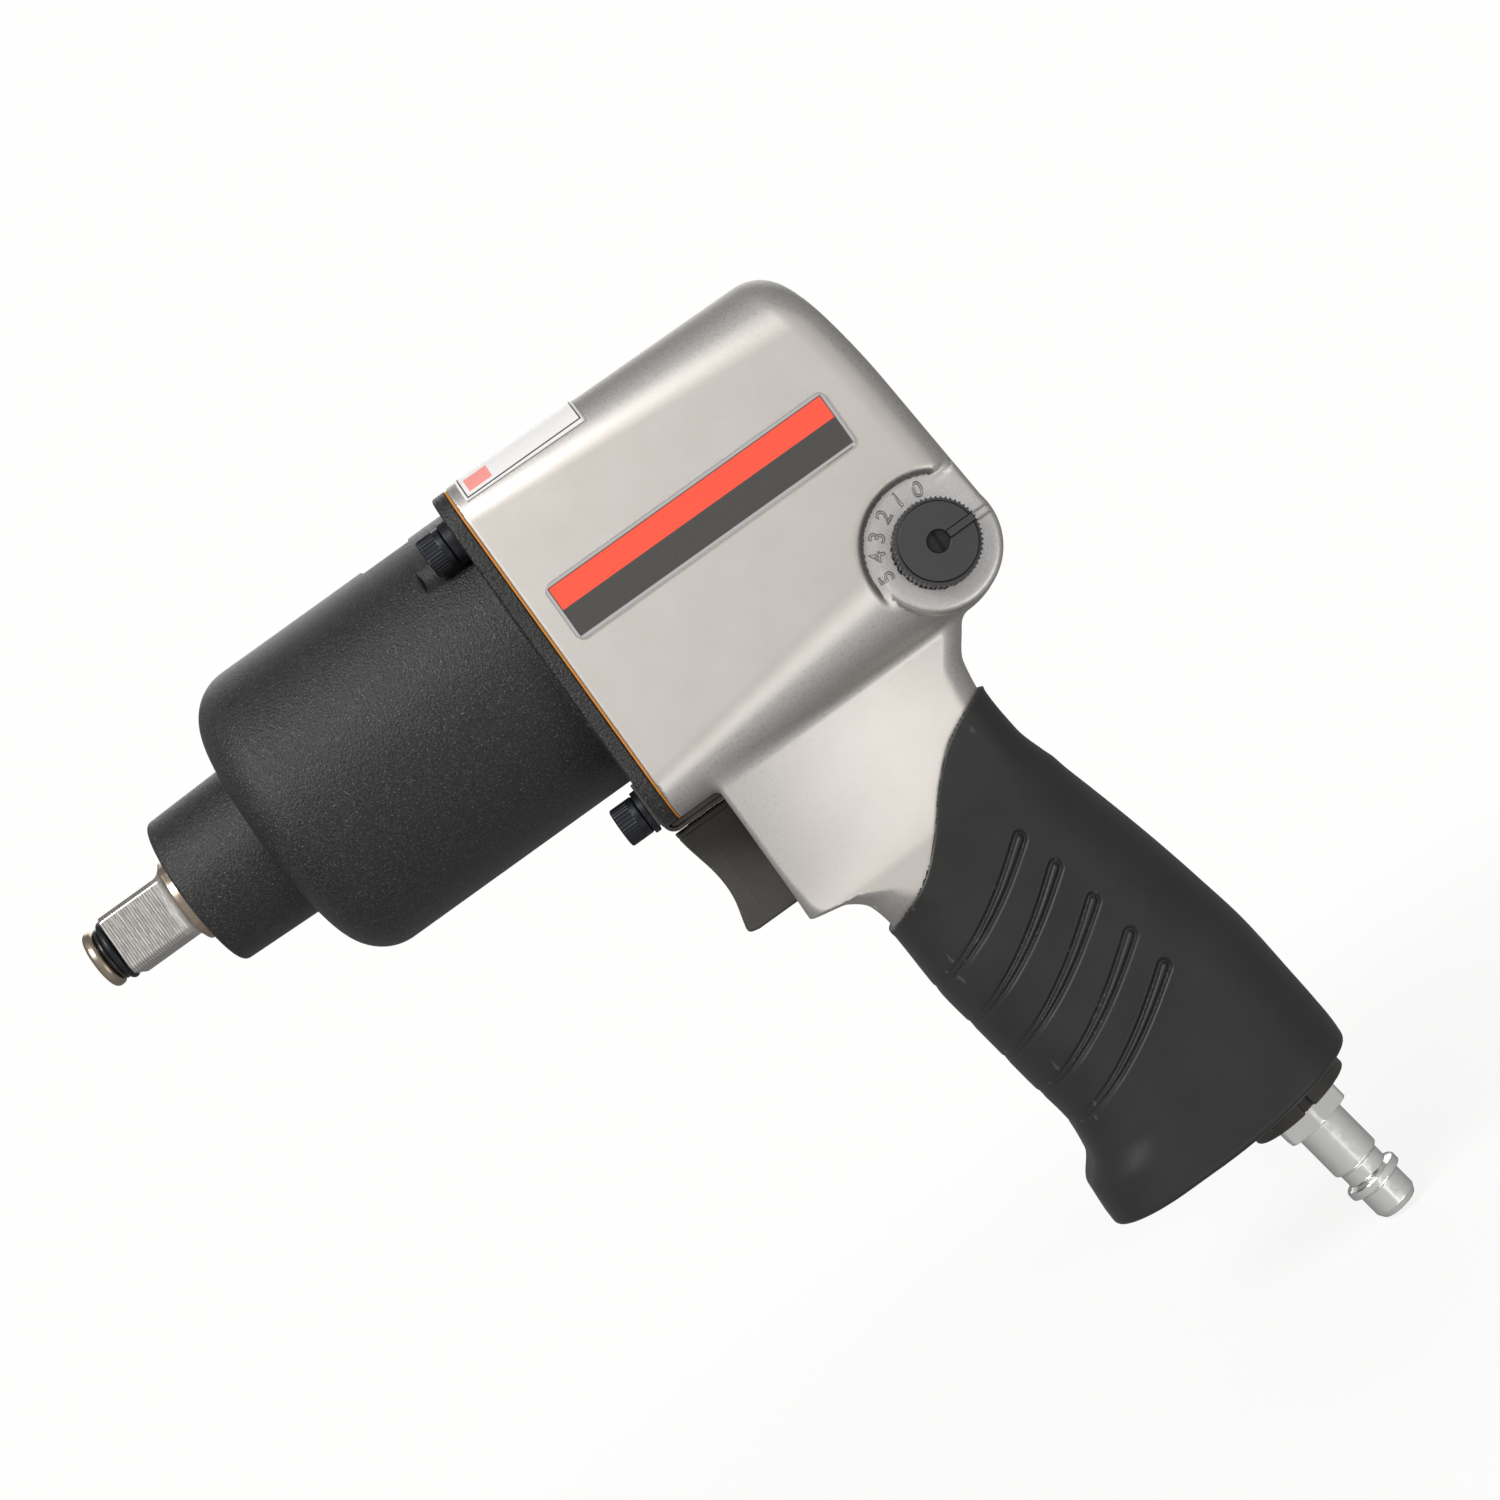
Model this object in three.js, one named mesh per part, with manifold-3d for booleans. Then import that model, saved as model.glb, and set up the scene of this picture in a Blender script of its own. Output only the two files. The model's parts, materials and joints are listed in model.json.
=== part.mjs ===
// Air impact wrench with a half-inch square drive, a twin-hammer clutch and a six-vane air motor.
//
// Millimetres, +Z up. +X runs along the drive axis to the rear of the tool, so the square drive points
// along -X, and the side with the regulator knob faces -Y. The sizes below are measured from a plane just
// ahead of the joint between the hammer case and the motor housing; the whole tool is then set back so
// that the origin is the centre of the drive's end face.

import * as THREE from 'three';
import { mergeVertices } from 'three/addons/utils/BufferGeometryUtils.js';
import Module from 'manifold-3d';

// ---------------------------------------------------------------------------------------------
// Driving dimensions
// ---------------------------------------------------------------------------------------------

const DRIVE = 12.7; // across the flats of the square
const RUN = 0.06; // radial gap of a running fit
const SIT = 0.05; // gap between faces that rest on each other
const TILT = THREE.MathUtils.degToRad(9.2); // how far the handle leans to the rear

const JOINT = 1.2; // the front face of the motor housing
const CASE = {
  front: -84, nose: 16.2, step: -65, shoulder: 10, drum: 31.4, draft: 0.7, cavity: 27.5,
  wall: -60.5, bore: 12.55, reliefFrom: -22, reliefTo: -11, relief: 1.2,
};
const FLANGE = { front: JOINT - 3.4, back: JOINT - 0.5, half: 35.5, top: 31.3, bottom: -42.6, corner: 9 };
const HOUSING = {
  half: 36, top: 31.5, bottom: -42.6, topFall: 0.2, corner: 9, upperGrowth: 6, lowerGrowth: 13,
  back: 78.2, rearLean: 0.075, rearBow: 0.0035, rearFillet: 7, heel: 13.2,
};
const MOTOR = { bore: 27.15, end: 57.6, liner: 26.95, chamber: 21.4, offset: 2, rotor: 18.4 };
const PLATE_FRONT = { from: 1, to: 8.5 };
const LINER = { from: 8.7, to: 48.7 };
const PLATE_REAR = { from: 48.9, to: 56.4 };
const BEARING = { outer: 13, inner: 6, width: 6 };
const CLUTCH = { outer: 27, webIn: 25, pinAt: 19.5, pin: 3, ring: 23.3, bore: 14.2, front: -59, back: -5 };
const HAMMER_FRONT = { from: -54.6, to: -33.2 };
const HAMMER_REAR = { from: -31.8, to: -10.4 };
const ANVIL = {
  tip: -107.2, grooveFrom: -104.8, grooveTo: -101.8, squareTo: -86.9, journal: 9.5, lug: 12.5,
};
const ANVIL_TURN = THREE.MathUtils.degToRad(-3);
const SCREW = { head: 4, headLong: 5, shank: 2.45, hole: 2.7, tip: 12 };
const SCREW_PLACES = [[-26.5, 22.9], [26.5, 22.9], [-20, -37.9], [20, -37.9]]; // two upper, two lower
const REG = {
  x: 67.6, z: -29.4, boss: 12.6, face: -34.2, bushing: 7.6, spool: 5.9, knob: 8.2, knobLong: 10,
  detentAt: 6.1, // distance of the detent ball from the regulator's axis
  track: 0.9, // depth of the groove the ball rolls in
  flat: 13, ledge: 10.7, // radius of the milled flat, and how high it reaches towards the rear edge
};
const FOOT = { x: 64.9, z: -155.6 }; // a point on the inlet axis, inside the ring under the handle
const HANDLE_END = 2.8; // the handle's end face crosses the inlet axis this far above the foot point
const INLET = { bore: 8.2, bushing: 8.05, chamber: 6.6, seat: 82, stemTop: 104 };
const TRIGGER = { front: -2.6, back: 10.1, top: -45.6, bottom: -68.7, half: 8.6, travel: 4.3, rodZ: -57 };
const PLATE = { long: 62, high: 12, thick: 0.6, x: 36.1, z: -0.4, lean: THREE.MathUtils.degToRad(0.2) };
const LABEL = { from: 3.3, to: 29.4, low: 26.3, over: 16 }; // over: how far it reaches past the middle
const STRAP = 0.9; // thickness of the trigger strap
const GRIP_WALL = 3.2;
const NECK_INSET = 1; // the bare casting stands this far inside the rubber

// Handle sections from the body down to the foot: height, front edge, rear edge, half width.
const HANDLE = [
  [-34, 8.8, 75, 32.5],
  [-38, 8.8, 71, 30.5],
  [-41, 8.8, 68.3, 28.8],
  [-45, 8.7, 65.2, 26.5],
  [-50, 8.7, 62.3, 23.6],
  [-57, 8.6, 61.5, 20.6],
  [-66, 8.5, 62.2, 18.6],
  [-72.4, 8.3, 64, 18],
  [-74.4, 14.6, 64.9, 18.1],
  [-77.8, 18.4, 65.8, 18.2],
  [-84, 20, 67.6, 18.3],
  [-98, 21.1, 71.4, 18.6],
  [-110, 23, 74.2, 18.8],
  [-122, 24.9, 76.6, 19],
  [-135, 27, 78.4, 19.3],
  [-141, 26.5, 78.7, 19.4],
  [-147, 23, 79.1, 19.5],
  [-151.5, 22.7, 79, 19.5],
  [-154.8, 27, 77, 18],
];

// Slots in the sides of the grip: front and rear end of the first, and the step to the next of each.
const GRIP_SLOT = {
  count: 5, width: 1.6, depth: 0.7,
  low: [26, -97.5], step: [1.2, -9.3],
  high: [51.5, -83.6], highStep: [2, -9.1],
};

// Upper edge of the rubber, from the rear of the handle to its front.
const RUBBER_EDGE = [
  [62, -55.3],
  [50.5, -60.1],
  [43.6, -66.1],
  [37.6, -73.1],
  [30.7, -79.2],
  [20.2, -84.1],
];

// ---------------------------------------------------------------------------------------------
// Solids: joining, cutting and simple shapes
// ---------------------------------------------------------------------------------------------

const wasm = await Module();
wasm.setup();

const X = new THREE.Vector3(1, 0, 0);
const Y = new THREE.Vector3(0, 1, 0);
const Z = new THREE.Vector3(0, 0, 1);

/** A closed geometry as a solid that can be joined and cut. Turns it right side out if it needs it. */
function solid(geometry) {
  const bare = geometry.clone();
  bare.deleteAttribute('normal');
  bare.deleteAttribute('uv');
  const merged = mergeVertices(bare, 1e-4);
  const vertProperties = merged.attributes.position.array;
  const triVerts = Uint32Array.from(merged.index.array);
  if (signedVolume(vertProperties, triVerts) < 0) {
    for (let i = 0; i < triVerts.length; i += 3) {
      [triVerts[i + 1], triVerts[i + 2]] = [triVerts[i + 2], triVerts[i + 1]];
    }
  }
  return new wasm.Manifold(new wasm.Mesh({ numProp: 3, vertProperties, triVerts }));
}

function signedVolume(points, triangles) {
  const corner = (i) => new THREE.Vector3().fromArray(points, 3 * triangles[i]);
  let sum = 0;
  for (let i = 0; i < triangles.length; i += 3) {
    sum += corner(i).dot(corner(i + 1).cross(corner(i + 2)));
  }
  return sum;
}

function toGeometry(body) {
  const mesh = body.getMesh();
  const geometry = new THREE.BufferGeometry();
  geometry.setAttribute('position', new THREE.BufferAttribute(mesh.vertProperties, 3));
  geometry.setIndex(new THREE.BufferAttribute(mesh.triVerts, 1));
  geometry.computeVertexNormals();
  return geometry;
}

function moved(body, x, y, z) {
  return body.translate([x, y, z]);
}

/** Body of revolution about the X axis from [x, radius] pairs that start and end on the axis or close. */
function turned(profile, segments = 24) {
  const points = profile.map(([x, radius]) => new THREE.Vector2(radius, x));
  return solid(new THREE.LatheGeometry(points, segments).rotateZ(-Math.PI / 2));
}

/** Round bar along X. */
function bar(from, to, radius, segments = 20) {
  return turned([[from, 0], [from, radius], [to, radius], [to, 0]], segments);
}

/** Ring along X between two radii. Its hole is faceted outside the inner radius, so a shaft still fits. */
function ring(from, to, inner, outer, segments = 28) {
  return bar(from, to, outer, segments).subtract(bar(from - 1, to + 1, holeFor(inner, segments), segments));
}

/** Radius of the corners of a faceted hole whose flats stand at the given radius. */
function holeFor(radius, segments) {
  return radius / Math.cos(Math.PI / segments);
}

/** A body made along X, turned to lie along -Y. */
function alongMinusY(body) {
  return body.rotate([0, 0, -90]);
}

/** A body made along X, turned to stand along +Z. */
function alongZ(body) {
  return body.rotate([0, -90, 0]);
}

function shapeOf(points) {
  return new THREE.Shape(points.map(([a, b]) => new THREE.Vector2(a, b)));
}

/** A shape drawn in Y and Z, carried along X. */
function acrossX(shape, from, to, curveSegments = 6) {
  const options = { depth: to - from, bevelEnabled: false, curveSegments };
  const geometry = new THREE.ExtrudeGeometry(shape, options);
  geometry.applyMatrix4(new THREE.Matrix4().makeBasis(Y, Z, X));
  return moved(solid(geometry), from, 0, 0);
}

/** A shape drawn in X and Z, carried along Y and centred on the mid-plane unless it is told where. */
function acrossY(shape, width, middle = 0, curveSegments = 6) {
  const options = { depth: width, bevelEnabled: false, curveSegments };
  const geometry = new THREE.ExtrudeGeometry(shape, options);
  geometry.applyMatrix4(new THREE.Matrix4().makeBasis(X, Z, Y.clone().negate()));
  return moved(solid(geometry), 0, middle + width / 2, 0);
}

function box(x0, x1, y0, y1, z0, z1) {
  const geometry = new THREE.BoxGeometry(x1 - x0, y1 - y0, z1 - z0);
  return moved(solid(geometry), (x0 + x1) / 2, (y0 + y1) / 2, (z0 + z1) / 2);
}

/**
 * Outline of a rounded rectangle as points, anticlockwise, with the same count for every size. Lower is
 * the radius of the two corners on the side of b0.
 */
function roundedOutline(a0, a1, b0, b1, radius, steps = 4, lower = radius) {
  const most = Math.min((a1 - a0) / 2, (b1 - b0) / 2) - 0.01;
  const top = Math.min(radius, most);
  const low = Math.min(lower, most);
  const corners = [
    [a1 - top, b1 - top, top],
    [a0 + top, b1 - top, top],
    [a0 + low, b0 + low, low],
    [a1 - low, b0 + low, low],
  ];
  const outline = [];
  corners.forEach(([a, b, r], quarter) => {
    for (let i = 0; i <= steps; i++) {
      const angle = (quarter + i / steps) * Math.PI / 2;
      outline.push([a + r * Math.cos(angle), b + r * Math.sin(angle)]);
    }
  });
  return outline;
}

/** A skin over rings of points that all have the same count, closed at both ends. */
function loft(rings) {
  const count = rings[0].length;
  const positions = rings.flat(2);
  const index = [];
  for (let r = 0; r + 1 < rings.length; r++) {
    for (let i = 0; i < count; i++) {
      const a = r * count + i;
      const b = r * count + (i + 1) % count;
      index.push(a, b, a + count, b, b + count, a + count);
    }
  }
  const last = (rings.length - 1) * count;
  for (let i = 1; i + 1 < count; i++) {
    index.push(0, i + 1, i);
    index.push(last, last + i, last + i + 1);
  }
  const geometry = new THREE.BufferGeometry();
  geometry.setAttribute('position', new THREE.Float32BufferAttribute(positions, 3));
  geometry.setIndex(index);
  return solid(geometry);
}

class Helix extends THREE.Curve {
  constructor(radius, height, turns) {
    super();
    Object.assign(this, { radius, height, turns });
  }

  getPoint(t, target = new THREE.Vector3()) {
    const angle = 2 * Math.PI * this.turns * t;
    return target.set(this.radius * Math.cos(angle), this.radius * Math.sin(angle), this.height * t);
  }
}

/** Coil spring that stands on the XY plane. */
function coil(radius, wire, height, turns, stepsPerTurn) {
  const section = new THREE.Shape().absarc(0, 0, wire, 0, 2 * Math.PI);
  const path = new Helix(radius, height, turns);
  const options = { steps: turns * stepsPerTurn, extrudePath: path, curveSegments: 3, bevelEnabled: false };
  return solid(new THREE.ExtrudeGeometry(section, options));
}

// ---------------------------------------------------------------------------------------------
// Materials and nodes
// ---------------------------------------------------------------------------------------------

const finish = {
  castAluminium: { color: 0xd4ceca, roughness: 0.42, metalness: 0.9 },
  blackPaint: { color: 0x29292b, roughness: 0.6, metalness: 0.2 },
  groundSteel: { color: 0xc9c6c2, roughness: 0.28, metalness: 1 },
  hardSteel: { color: 0x8f8d8a, roughness: 0.4, metalness: 1 },
  blackOxide: { color: 0x202022, roughness: 0.5, metalness: 0.7 },
  zinc: { color: 0xd9d9d6, roughness: 0.18, metalness: 1 },
  bronze: { color: 0xb08a4c, roughness: 0.4, metalness: 1 },
  rubber: { color: 0x343436, roughness: 0.75, metalness: 0 },
  blackPlastic: { color: 0x3c3b3a, roughness: 0.55, metalness: 0 },
  gasketPaper: { color: 0xc88228, roughness: 0.8, metalness: 0 },
  resin: { color: 0x6b4a2e, roughness: 0.7, metalness: 0 },
  plateRed: { color: 0xfc5a42, roughness: 0.35, metalness: 0 },
  labelWhite: { color: 0xf2efec, roughness: 0.5, metalness: 0 },
};

const wrench = new THREE.Group();
wrench.name = 'impact_wrench';
const tool = new THREE.Group(); // everything, measured from the joint plane
tool.position.x = -ANVIL.tip;
wrench.add(tool);

/** Adds one piece to the tool, or to a group of it. */
function node(name, body, look, parent = tool) {
  const mesh = new THREE.Mesh(toGeometry(body), new THREE.MeshStandardMaterial(look));
  mesh.name = name;
  parent.add(mesh);
  return mesh;
}

// ---------------------------------------------------------------------------------------------
// Motor housing, handle and grip
// ---------------------------------------------------------------------------------------------

/** Where the rear face stands at a height: it leans forward, and above the drive axis it also bows. */
function rearAt(z) {
  return HOUSING.back - HOUSING.rearLean * z - HOUSING.rearBow * Math.max(z, 0) ** 2;
}

/** Section of the motor barrel. Share 0 is the front face, 1 the sloping rear face. */
function barrelRing(share, inset) {
  const { corner, upperGrowth, lowerGrowth } = HOUSING;
  const top = HOUSING.top - HOUSING.topFall * share - inset;
  const half = HOUSING.half - inset;
  const upper = Math.max(corner + upperGrowth * share - inset, 2);
  const lower = Math.max(corner + lowerGrowth * share - inset, 2);
  const outline = roundedOutline(-half, half, HOUSING.bottom + inset, top, upper, 4, lower);
  return outline.map(([y, z]) => [JOINT + share * (rearAt(z) - JOINT), y, z]);
}

function barrel(inset) {
  const rings = [0, 0.3, 0.6].map((share) => barrelRing(share, inset));
  const reach = HOUSING.rearFillet / HOUSING.back;
  for (const angle of [0, 0.4, 0.8, 1.2, Math.PI / 2]) {
    const share = 1 - reach * (1 - Math.sin(angle));
    rings.push(barrelRing(share, inset + HOUSING.rearFillet * (1 - Math.cos(angle))));
  }
  return loft(rings).subtract(heelCut());
}

/** What is taken off the lower rear corner of the barrel to leave it round about the regulator. */
function heelCut() {
  const { heel, bottom } = HOUSING;
  const z = bottom + heel;
  const x = rearAt(z) - heel;
  const round = moved(alongMinusY(bar(-50, 50, heel, 48)), x, 0, z);
  return box(x, x + 30, -45, 45, z - 30, z).subtract(round);
}

function handle(inset) {
  const rings = HANDLE.map(([z, front, rear, half]) => {
    const corner = Math.min(half, 14) - inset;
    const side = half - inset;
    const outline = roundedOutline(front + inset, rear - inset, -side, side, corner);
    return outline.map(([x, y]) => [x, y, z]);
  });
  return loft(rings);
}

/** Everything below the rubber's upper edge, let down by a gap. */
function rubberZone(drop) {
  const edge = RUBBER_EDGE.map(([x, z]) => [x, z - drop]);
  const far = 90;
  const low = -170;
  return acrossY(shapeOf([[far, -50 - drop], ...edge, [0, -86 - drop], [0, low], [far, low]]), 60);
}

/** Bar along the leaning axis of the handle, at a distance up from the foot. */
function onHandleAxis(body) {
  return moved(body.rotate([0, THREE.MathUtils.radToDeg(-TILT), 0]), FOOT.x, 0, FOOT.z);
}

function exhaustPassage() {
  const side = [[17, -20], [32, -20], [31, -60], [38, -100], [48, -160], [30, -160], [27, -100], [19, -60]];
  return acrossY(shapeOf(side.reverse()), 15);
}

function airPassages() {
  const up = INLET.stemTop;
  const throttle = new THREE.Vector3(FOOT.x - up * Math.sin(TILT), 0, FOOT.z + up * Math.cos(TILT));
  const regulator = new THREE.Vector3(REG.x - 3, 0, REG.z - 4);
  const span = regulator.clone().sub(throttle);
  const lean = THREE.MathUtils.radToDeg(Math.atan2(span.x, span.z));
  const rising = alongZ(bar(-1, span.length(), 4.5, 16)).rotate([0, lean, 0]);
  const inlet = onHandleAxis(alongZ(bar(-5, INLET.seat + 3.2, INLET.bore, 28)));
  const chamber = onHandleAxis(alongZ(bar(INLET.seat, INLET.stemTop + 3, INLET.chamber, 24)));
  return inlet.add(chamber).add(moved(rising, throttle.x, 0, throttle.z));
}

function triggerPocket() {
  const gap = 0.35;
  return box(0, TRIGGER.back + TRIGGER.travel + 1, -TRIGGER.half - gap, TRIGGER.half + gap,
    TRIGGER.bottom - gap, TRIGGER.top + gap);
}

/** Flat that is milled around the regulator and out to the rear edge. */
function spotface() {
  const { x, z, face, flat, ledge } = REG;
  const around = alongMinusY(bar(-face, 50, flat, 32));
  return moved(around, x, 0, z).add(box(x, 95, -50, face, z, z + ledge));
}

function motorHousing() {
  const neck = handle(NECK_INSET).subtract(rubberZone(-0.15));
  const core = handle(GRIP_WALL).intersect(box(0, 90, -30, 30, FOOT.z + HANDLE_END + 2.2, -50));
  const boss = moved(alongMinusY(bar(20, -REG.face, REG.boss, 32)), REG.x, 0, REG.z);
  let body = barrel(0).subtract(spotface()).add(neck).add(core).add(boss);
  body = body.subtract(bar(-1, MOTOR.end, holeFor(MOTOR.bore, 36), 36));
  body = body.subtract(exhaustPassage()).subtract(airPassages()).subtract(triggerPocket());
  body = body.subtract(moved(bar(12, 46, holeFor(3.9, 16), 16), 0, 0, TRIGGER.rodZ));
  const spoolBore = alongMinusY(bar(-24, 40, holeFor(REG.bushing + SIT, 32), 32));
  body = body.subtract(moved(spoolBore, REG.x, 0, REG.z));
  const detentTrack = alongMinusY(ring(-REG.face - REG.track, 40, 4, 9, 24));
  body = body.subtract(moved(detentTrack, REG.x, 0, REG.z));
  for (const side of [-1, 1]) {
    body = body.subtract(moved(bar(56, 62, 2.2, 12), 0, side * 8, -24));
  }
  for (const [y, z] of SCREW_PLACES) {
    body = body.subtract(moved(bar(-1, 15, SCREW.hole, 16), 0, y, z));
  }
  return body;
}

/** Slots moulded into both sides of the grip. Each one rises to the rear from the front edge. */
function gripSlots() {
  const { count, low, step, high, highStep, width, depth } = GRIP_SLOT;
  const slots = [];
  for (let i = 0; i < count; i++) {
    const from = new THREE.Vector2(low[0] + i * step[0], low[1] + i * step[1]);
    const to = new THREE.Vector2(high[0] + i * highStep[0], high[1] + i * highStep[1]);
    const along = to.clone().sub(from);
    const angle = THREE.MathUtils.radToDeg(Math.atan2(along.y, along.x));
    for (const side of [-1, 1]) {
      const y = side * (gripHalf(from.y) - depth);
      const [y0, y1] = [y, side * 30].sort((a, b) => a - b);
      const slot = box(0, along.length(), y0, y1, -width / 2, width / 2);
      slots.push(moved(slot.rotate([0, -angle, 0]), from.x, 0, from.y));
    }
  }
  return slots;
}

/** Half width of the handle at a height, from the table of its sections. */
function gripHalf(z) {
  const below = HANDLE.findIndex(([height]) => height <= z);
  const [z1, , , half1] = HANDLE[below];
  const [z0, , , half0] = HANDLE[below - 1];
  return half0 + (half1 - half0) * (z0 - z) / (z0 - z1);
}

function gripSleeve() {
  let body = handle(0).intersect(rubberZone(0.15)).subtract(handle(GRIP_WALL - 0.2));
  body = body.subtract(onHandleAxis(box(-60, 40, -30, 30, -20, HANDLE_END)));
  for (const slot of gripSlots()) {
    body = body.subtract(slot);
  }
  return body;
}

function housingGasket() {
  const { half, top, bottom, corner } = FLANGE;
  const sheet = acrossX(shapeOf(roundedOutline(-half, half, bottom, top, corner)), JOINT - 0.45, JOINT - SIT);
  let body = sheet.subtract(bar(-2, 3, holeFor(MOTOR.bore + 0.1, 36), 36));
  for (const [y, z] of SCREW_PLACES) {
    body = body.subtract(moved(bar(-2, 3, SCREW.hole, 16), 0, y, z));
  }
  return body;
}

/** Thin plate with rounded corners on the flat side of the housing, in line with its falling top. */
function namePlate() {
  const { long, high, thick } = PLATE;
  const outline = roundedOutline(-long / 2, long / 2, -high / 2, high / 2, 2, 3);
  return acrossY(shapeOf(outline), thick);
}

/** Sticker wrapped over the top of the housing near its front. */
function topLabel() {
  const skin = barrel(-0.3).subtract(barrel(-SIT));
  return skin.intersect(box(LABEL.from, LABEL.to, -50, LABEL.over, LABEL.low, 40));
}

node('motor_housing', motorHousing(), finish.castAluminium);
node('grip_sleeve', gripSleeve(), finish.rubber);
node('housing_gasket', housingGasket(), finish.gasketPaper);
const plate = node('name_plate', namePlate(), finish.plateRed);
plate.position.set(PLATE.x, -HOUSING.half - PLATE.thick / 2 - SIT, PLATE.z);
plate.rotation.y = PLATE.lean;
node('top_label', topLabel(), finish.labelWhite);

// ---------------------------------------------------------------------------------------------
// Hammer case, its screws and the trigger strap
// ---------------------------------------------------------------------------------------------

function hammerCase() {
  const { front, nose, step, shoulder, drum, draft, cavity, wall, bore } = CASE;
  const { reliefFrom, reliefTo, relief } = CASE;
  const profile = [[front, 0], [front, nose - 1], [front + 1, nose], [step, nose + draft]];
  for (const angle of [0, 0.5, 1, Math.PI / 2]) {
    profile.push([step + shoulder * (1 - Math.cos(angle)), drum - shoulder + shoulder * Math.sin(angle)]);
  }
  profile.push([FLANGE.back, drum], [FLANGE.back, 0]);
  const flange = acrossX(
    shapeOf(roundedOutline(-FLANGE.half, FLANGE.half, FLANGE.bottom, FLANGE.top, FLANGE.corner)),
    FLANGE.front, FLANGE.back,
  );
  const cavityHole = bar(wall, 5, holeFor(cavity, 32), 32);
  const noseHole = bar(front - 1, wall + 1, holeFor(bore, 28), 28);
  const crown = ring(reliefFrom, reliefTo, drum - relief, drum + 9, 40);
  let body = turned(profile, 40).add(flange).subtract(cavityHole).subtract(noseHole);
  body = body.subtract(crown.intersect(box(reliefFrom, reliefTo, -30, 30, 20, 50)));
  SCREW_PLACES.forEach(([y, z], i) => {
    body = body.subtract(moved(bar(-8, 2, SCREW.hole, 16), 0, y, z));
    if (i < 2) {
      body = body.subtract(moved(bar(-12, FLANGE.front, SCREW.head + 0.7, 20), 0, y, z));
    }
  });
  return body;
}

/** Socket head cap screw that points along +X, with its head ahead of the seat. */
function capScrew(seat, tip) {
  const { head, headLong, shank } = SCREW;
  const face = seat - headLong;
  const profile = [
    [face, 0], [face, head - 0.6], [face + 0.6, head], [seat, head], [seat, shank], [tip, shank], [tip, 0],
  ];
  const socket = acrossX(new THREE.Shape(hexagon(4)), face - 1, face + 2.6);
  return turned(profile, 20).subtract(socket);
}

/** Corners of a hexagon, from its width across the flats. */
function hexagon(acrossFlats) {
  const corner = new THREE.Vector2(acrossFlats / Math.sqrt(3), 0);
  const middle = new THREE.Vector2();
  return [0, 1, 2, 3, 4, 5].map((i) => corner.clone().rotateAround(middle, i * Math.PI / 3));
}

/** Split spring washer, with its gap turned outward. */
function lockWasher(from, thick) {
  const slit = box(from - 1, from + 9, -0.4, 0.4, 0, 6);
  return ring(from, from + thick, SCREW.shank + 0.2, 4.5, 16).subtract(slit);
}

/** Steel strip held under the lower screws, bent back under the housing above the trigger. */
function triggerStrap() {
  const thick = STRAP;
  const front = FLANGE.front - SIT - thick;
  const low = -44.6;
  const bend = 2;
  const outline = new THREE.Shape();
  outline.moveTo(front, -33);
  outline.lineTo(front, low + bend);
  outline.absarc(front + bend, low + bend, bend, Math.PI, 1.5 * Math.PI);
  outline.lineTo(7.6, low);
  outline.lineTo(7.6, low + thick);
  outline.lineTo(front + bend, low + thick);
  outline.absarc(front + bend, low + bend, bend - thick, 1.5 * Math.PI, Math.PI, true);
  outline.lineTo(front + thick, -33);
  const strip = acrossY(outline, 18);
  const ears = box(front, front + thick, -25, 25, -41.6, -32.4);
  let body = strip.add(ears);
  for (const [y, z] of SCREW_PLACES.slice(2)) {
    body = body.subtract(moved(bar(-9, 0, SCREW.hole, 16), 0, y, z));
  }
  return body;
}

node('hammer_case', hammerCase(), finish.blackPaint);
node('trigger_strap', triggerStrap(), finish.hardSteel);
SCREW_PLACES.forEach(([y, z], i) => {
  const washerThick = i < 2 ? 1.9 : 1.2;
  const under = i < 2 ? 0 : STRAP + SIT; // the lower pair also clamps the strap
  const seat = FLANGE.front - SIT - under - washerThick;
  const place = new THREE.Group();
  place.position.set(0, y, z);
  node(`lock_washer_${i + 1}`, lockWasher(seat, washerThick), finish.blackOxide, place);
  node(`cap_screw_${i + 1}`, capScrew(seat - SIT, SCREW.tip), finish.blackOxide, place);
  tool.add(place);
});

// ---------------------------------------------------------------------------------------------
// Anvil and twin-hammer clutch
// ---------------------------------------------------------------------------------------------

function anvil() {
  const { tip, grooveFrom, grooveTo, squareTo, journal } = ANVIL;
  const neckIn = 4.5;
  const collar = 9;
  const inside = CASE.wall + 0.4;
  const round = turned([
    [tip, 0], [tip, 5.1], [tip + 0.9, 6.1], [grooveFrom, 6.1], [grooveFrom, neckIn], [grooveTo, neckIn],
    [grooveTo, 6], [squareTo, 6], [squareTo, collar], [CASE.front - 0.2, collar],
    [CASE.front - 0.1, journal], [inside, journal], [inside, 12.4], [CLUTCH.front + 3.6, 12.4],
    [CLUTCH.front + 4.2, journal], [-10.6, journal], [-10.6, 0],
  ], 28);
  const flat = DRIVE / 2;
  const corner = 1;
  const squareShape = shapeOf([
    [-flat + corner, -flat], [flat - corner, -flat], [flat, -flat + corner], [flat, flat - corner],
    [flat - corner, flat], [-flat + corner, flat], [-flat, flat - corner], [-flat, -flat + corner],
  ]);
  const square = acrossX(squareShape, grooveTo, squareTo + 0.2);
  const frontLug = anvilLug(1).intersect(box(HAMMER_FRONT.from + 0.5, HAMMER_FRONT.to, -20, 20, -20, 20));
  const rearLug = anvilLug(-1).intersect(box(HAMMER_REAR.from, -10.6, -20, 20, -20, 20));
  return round.add(square).add(frontLug).add(rearLug);
}

/** Striking face of the anvil, on the upper or lower side of its shaft. */
function anvilLug(side) {
  const low = side > 0 ? 0 : -20;
  return bar(-70, 0, ANVIL.lug, 32).intersect(box(-70, 0, -6.5, 6.5, low, low + 20));
}

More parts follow.
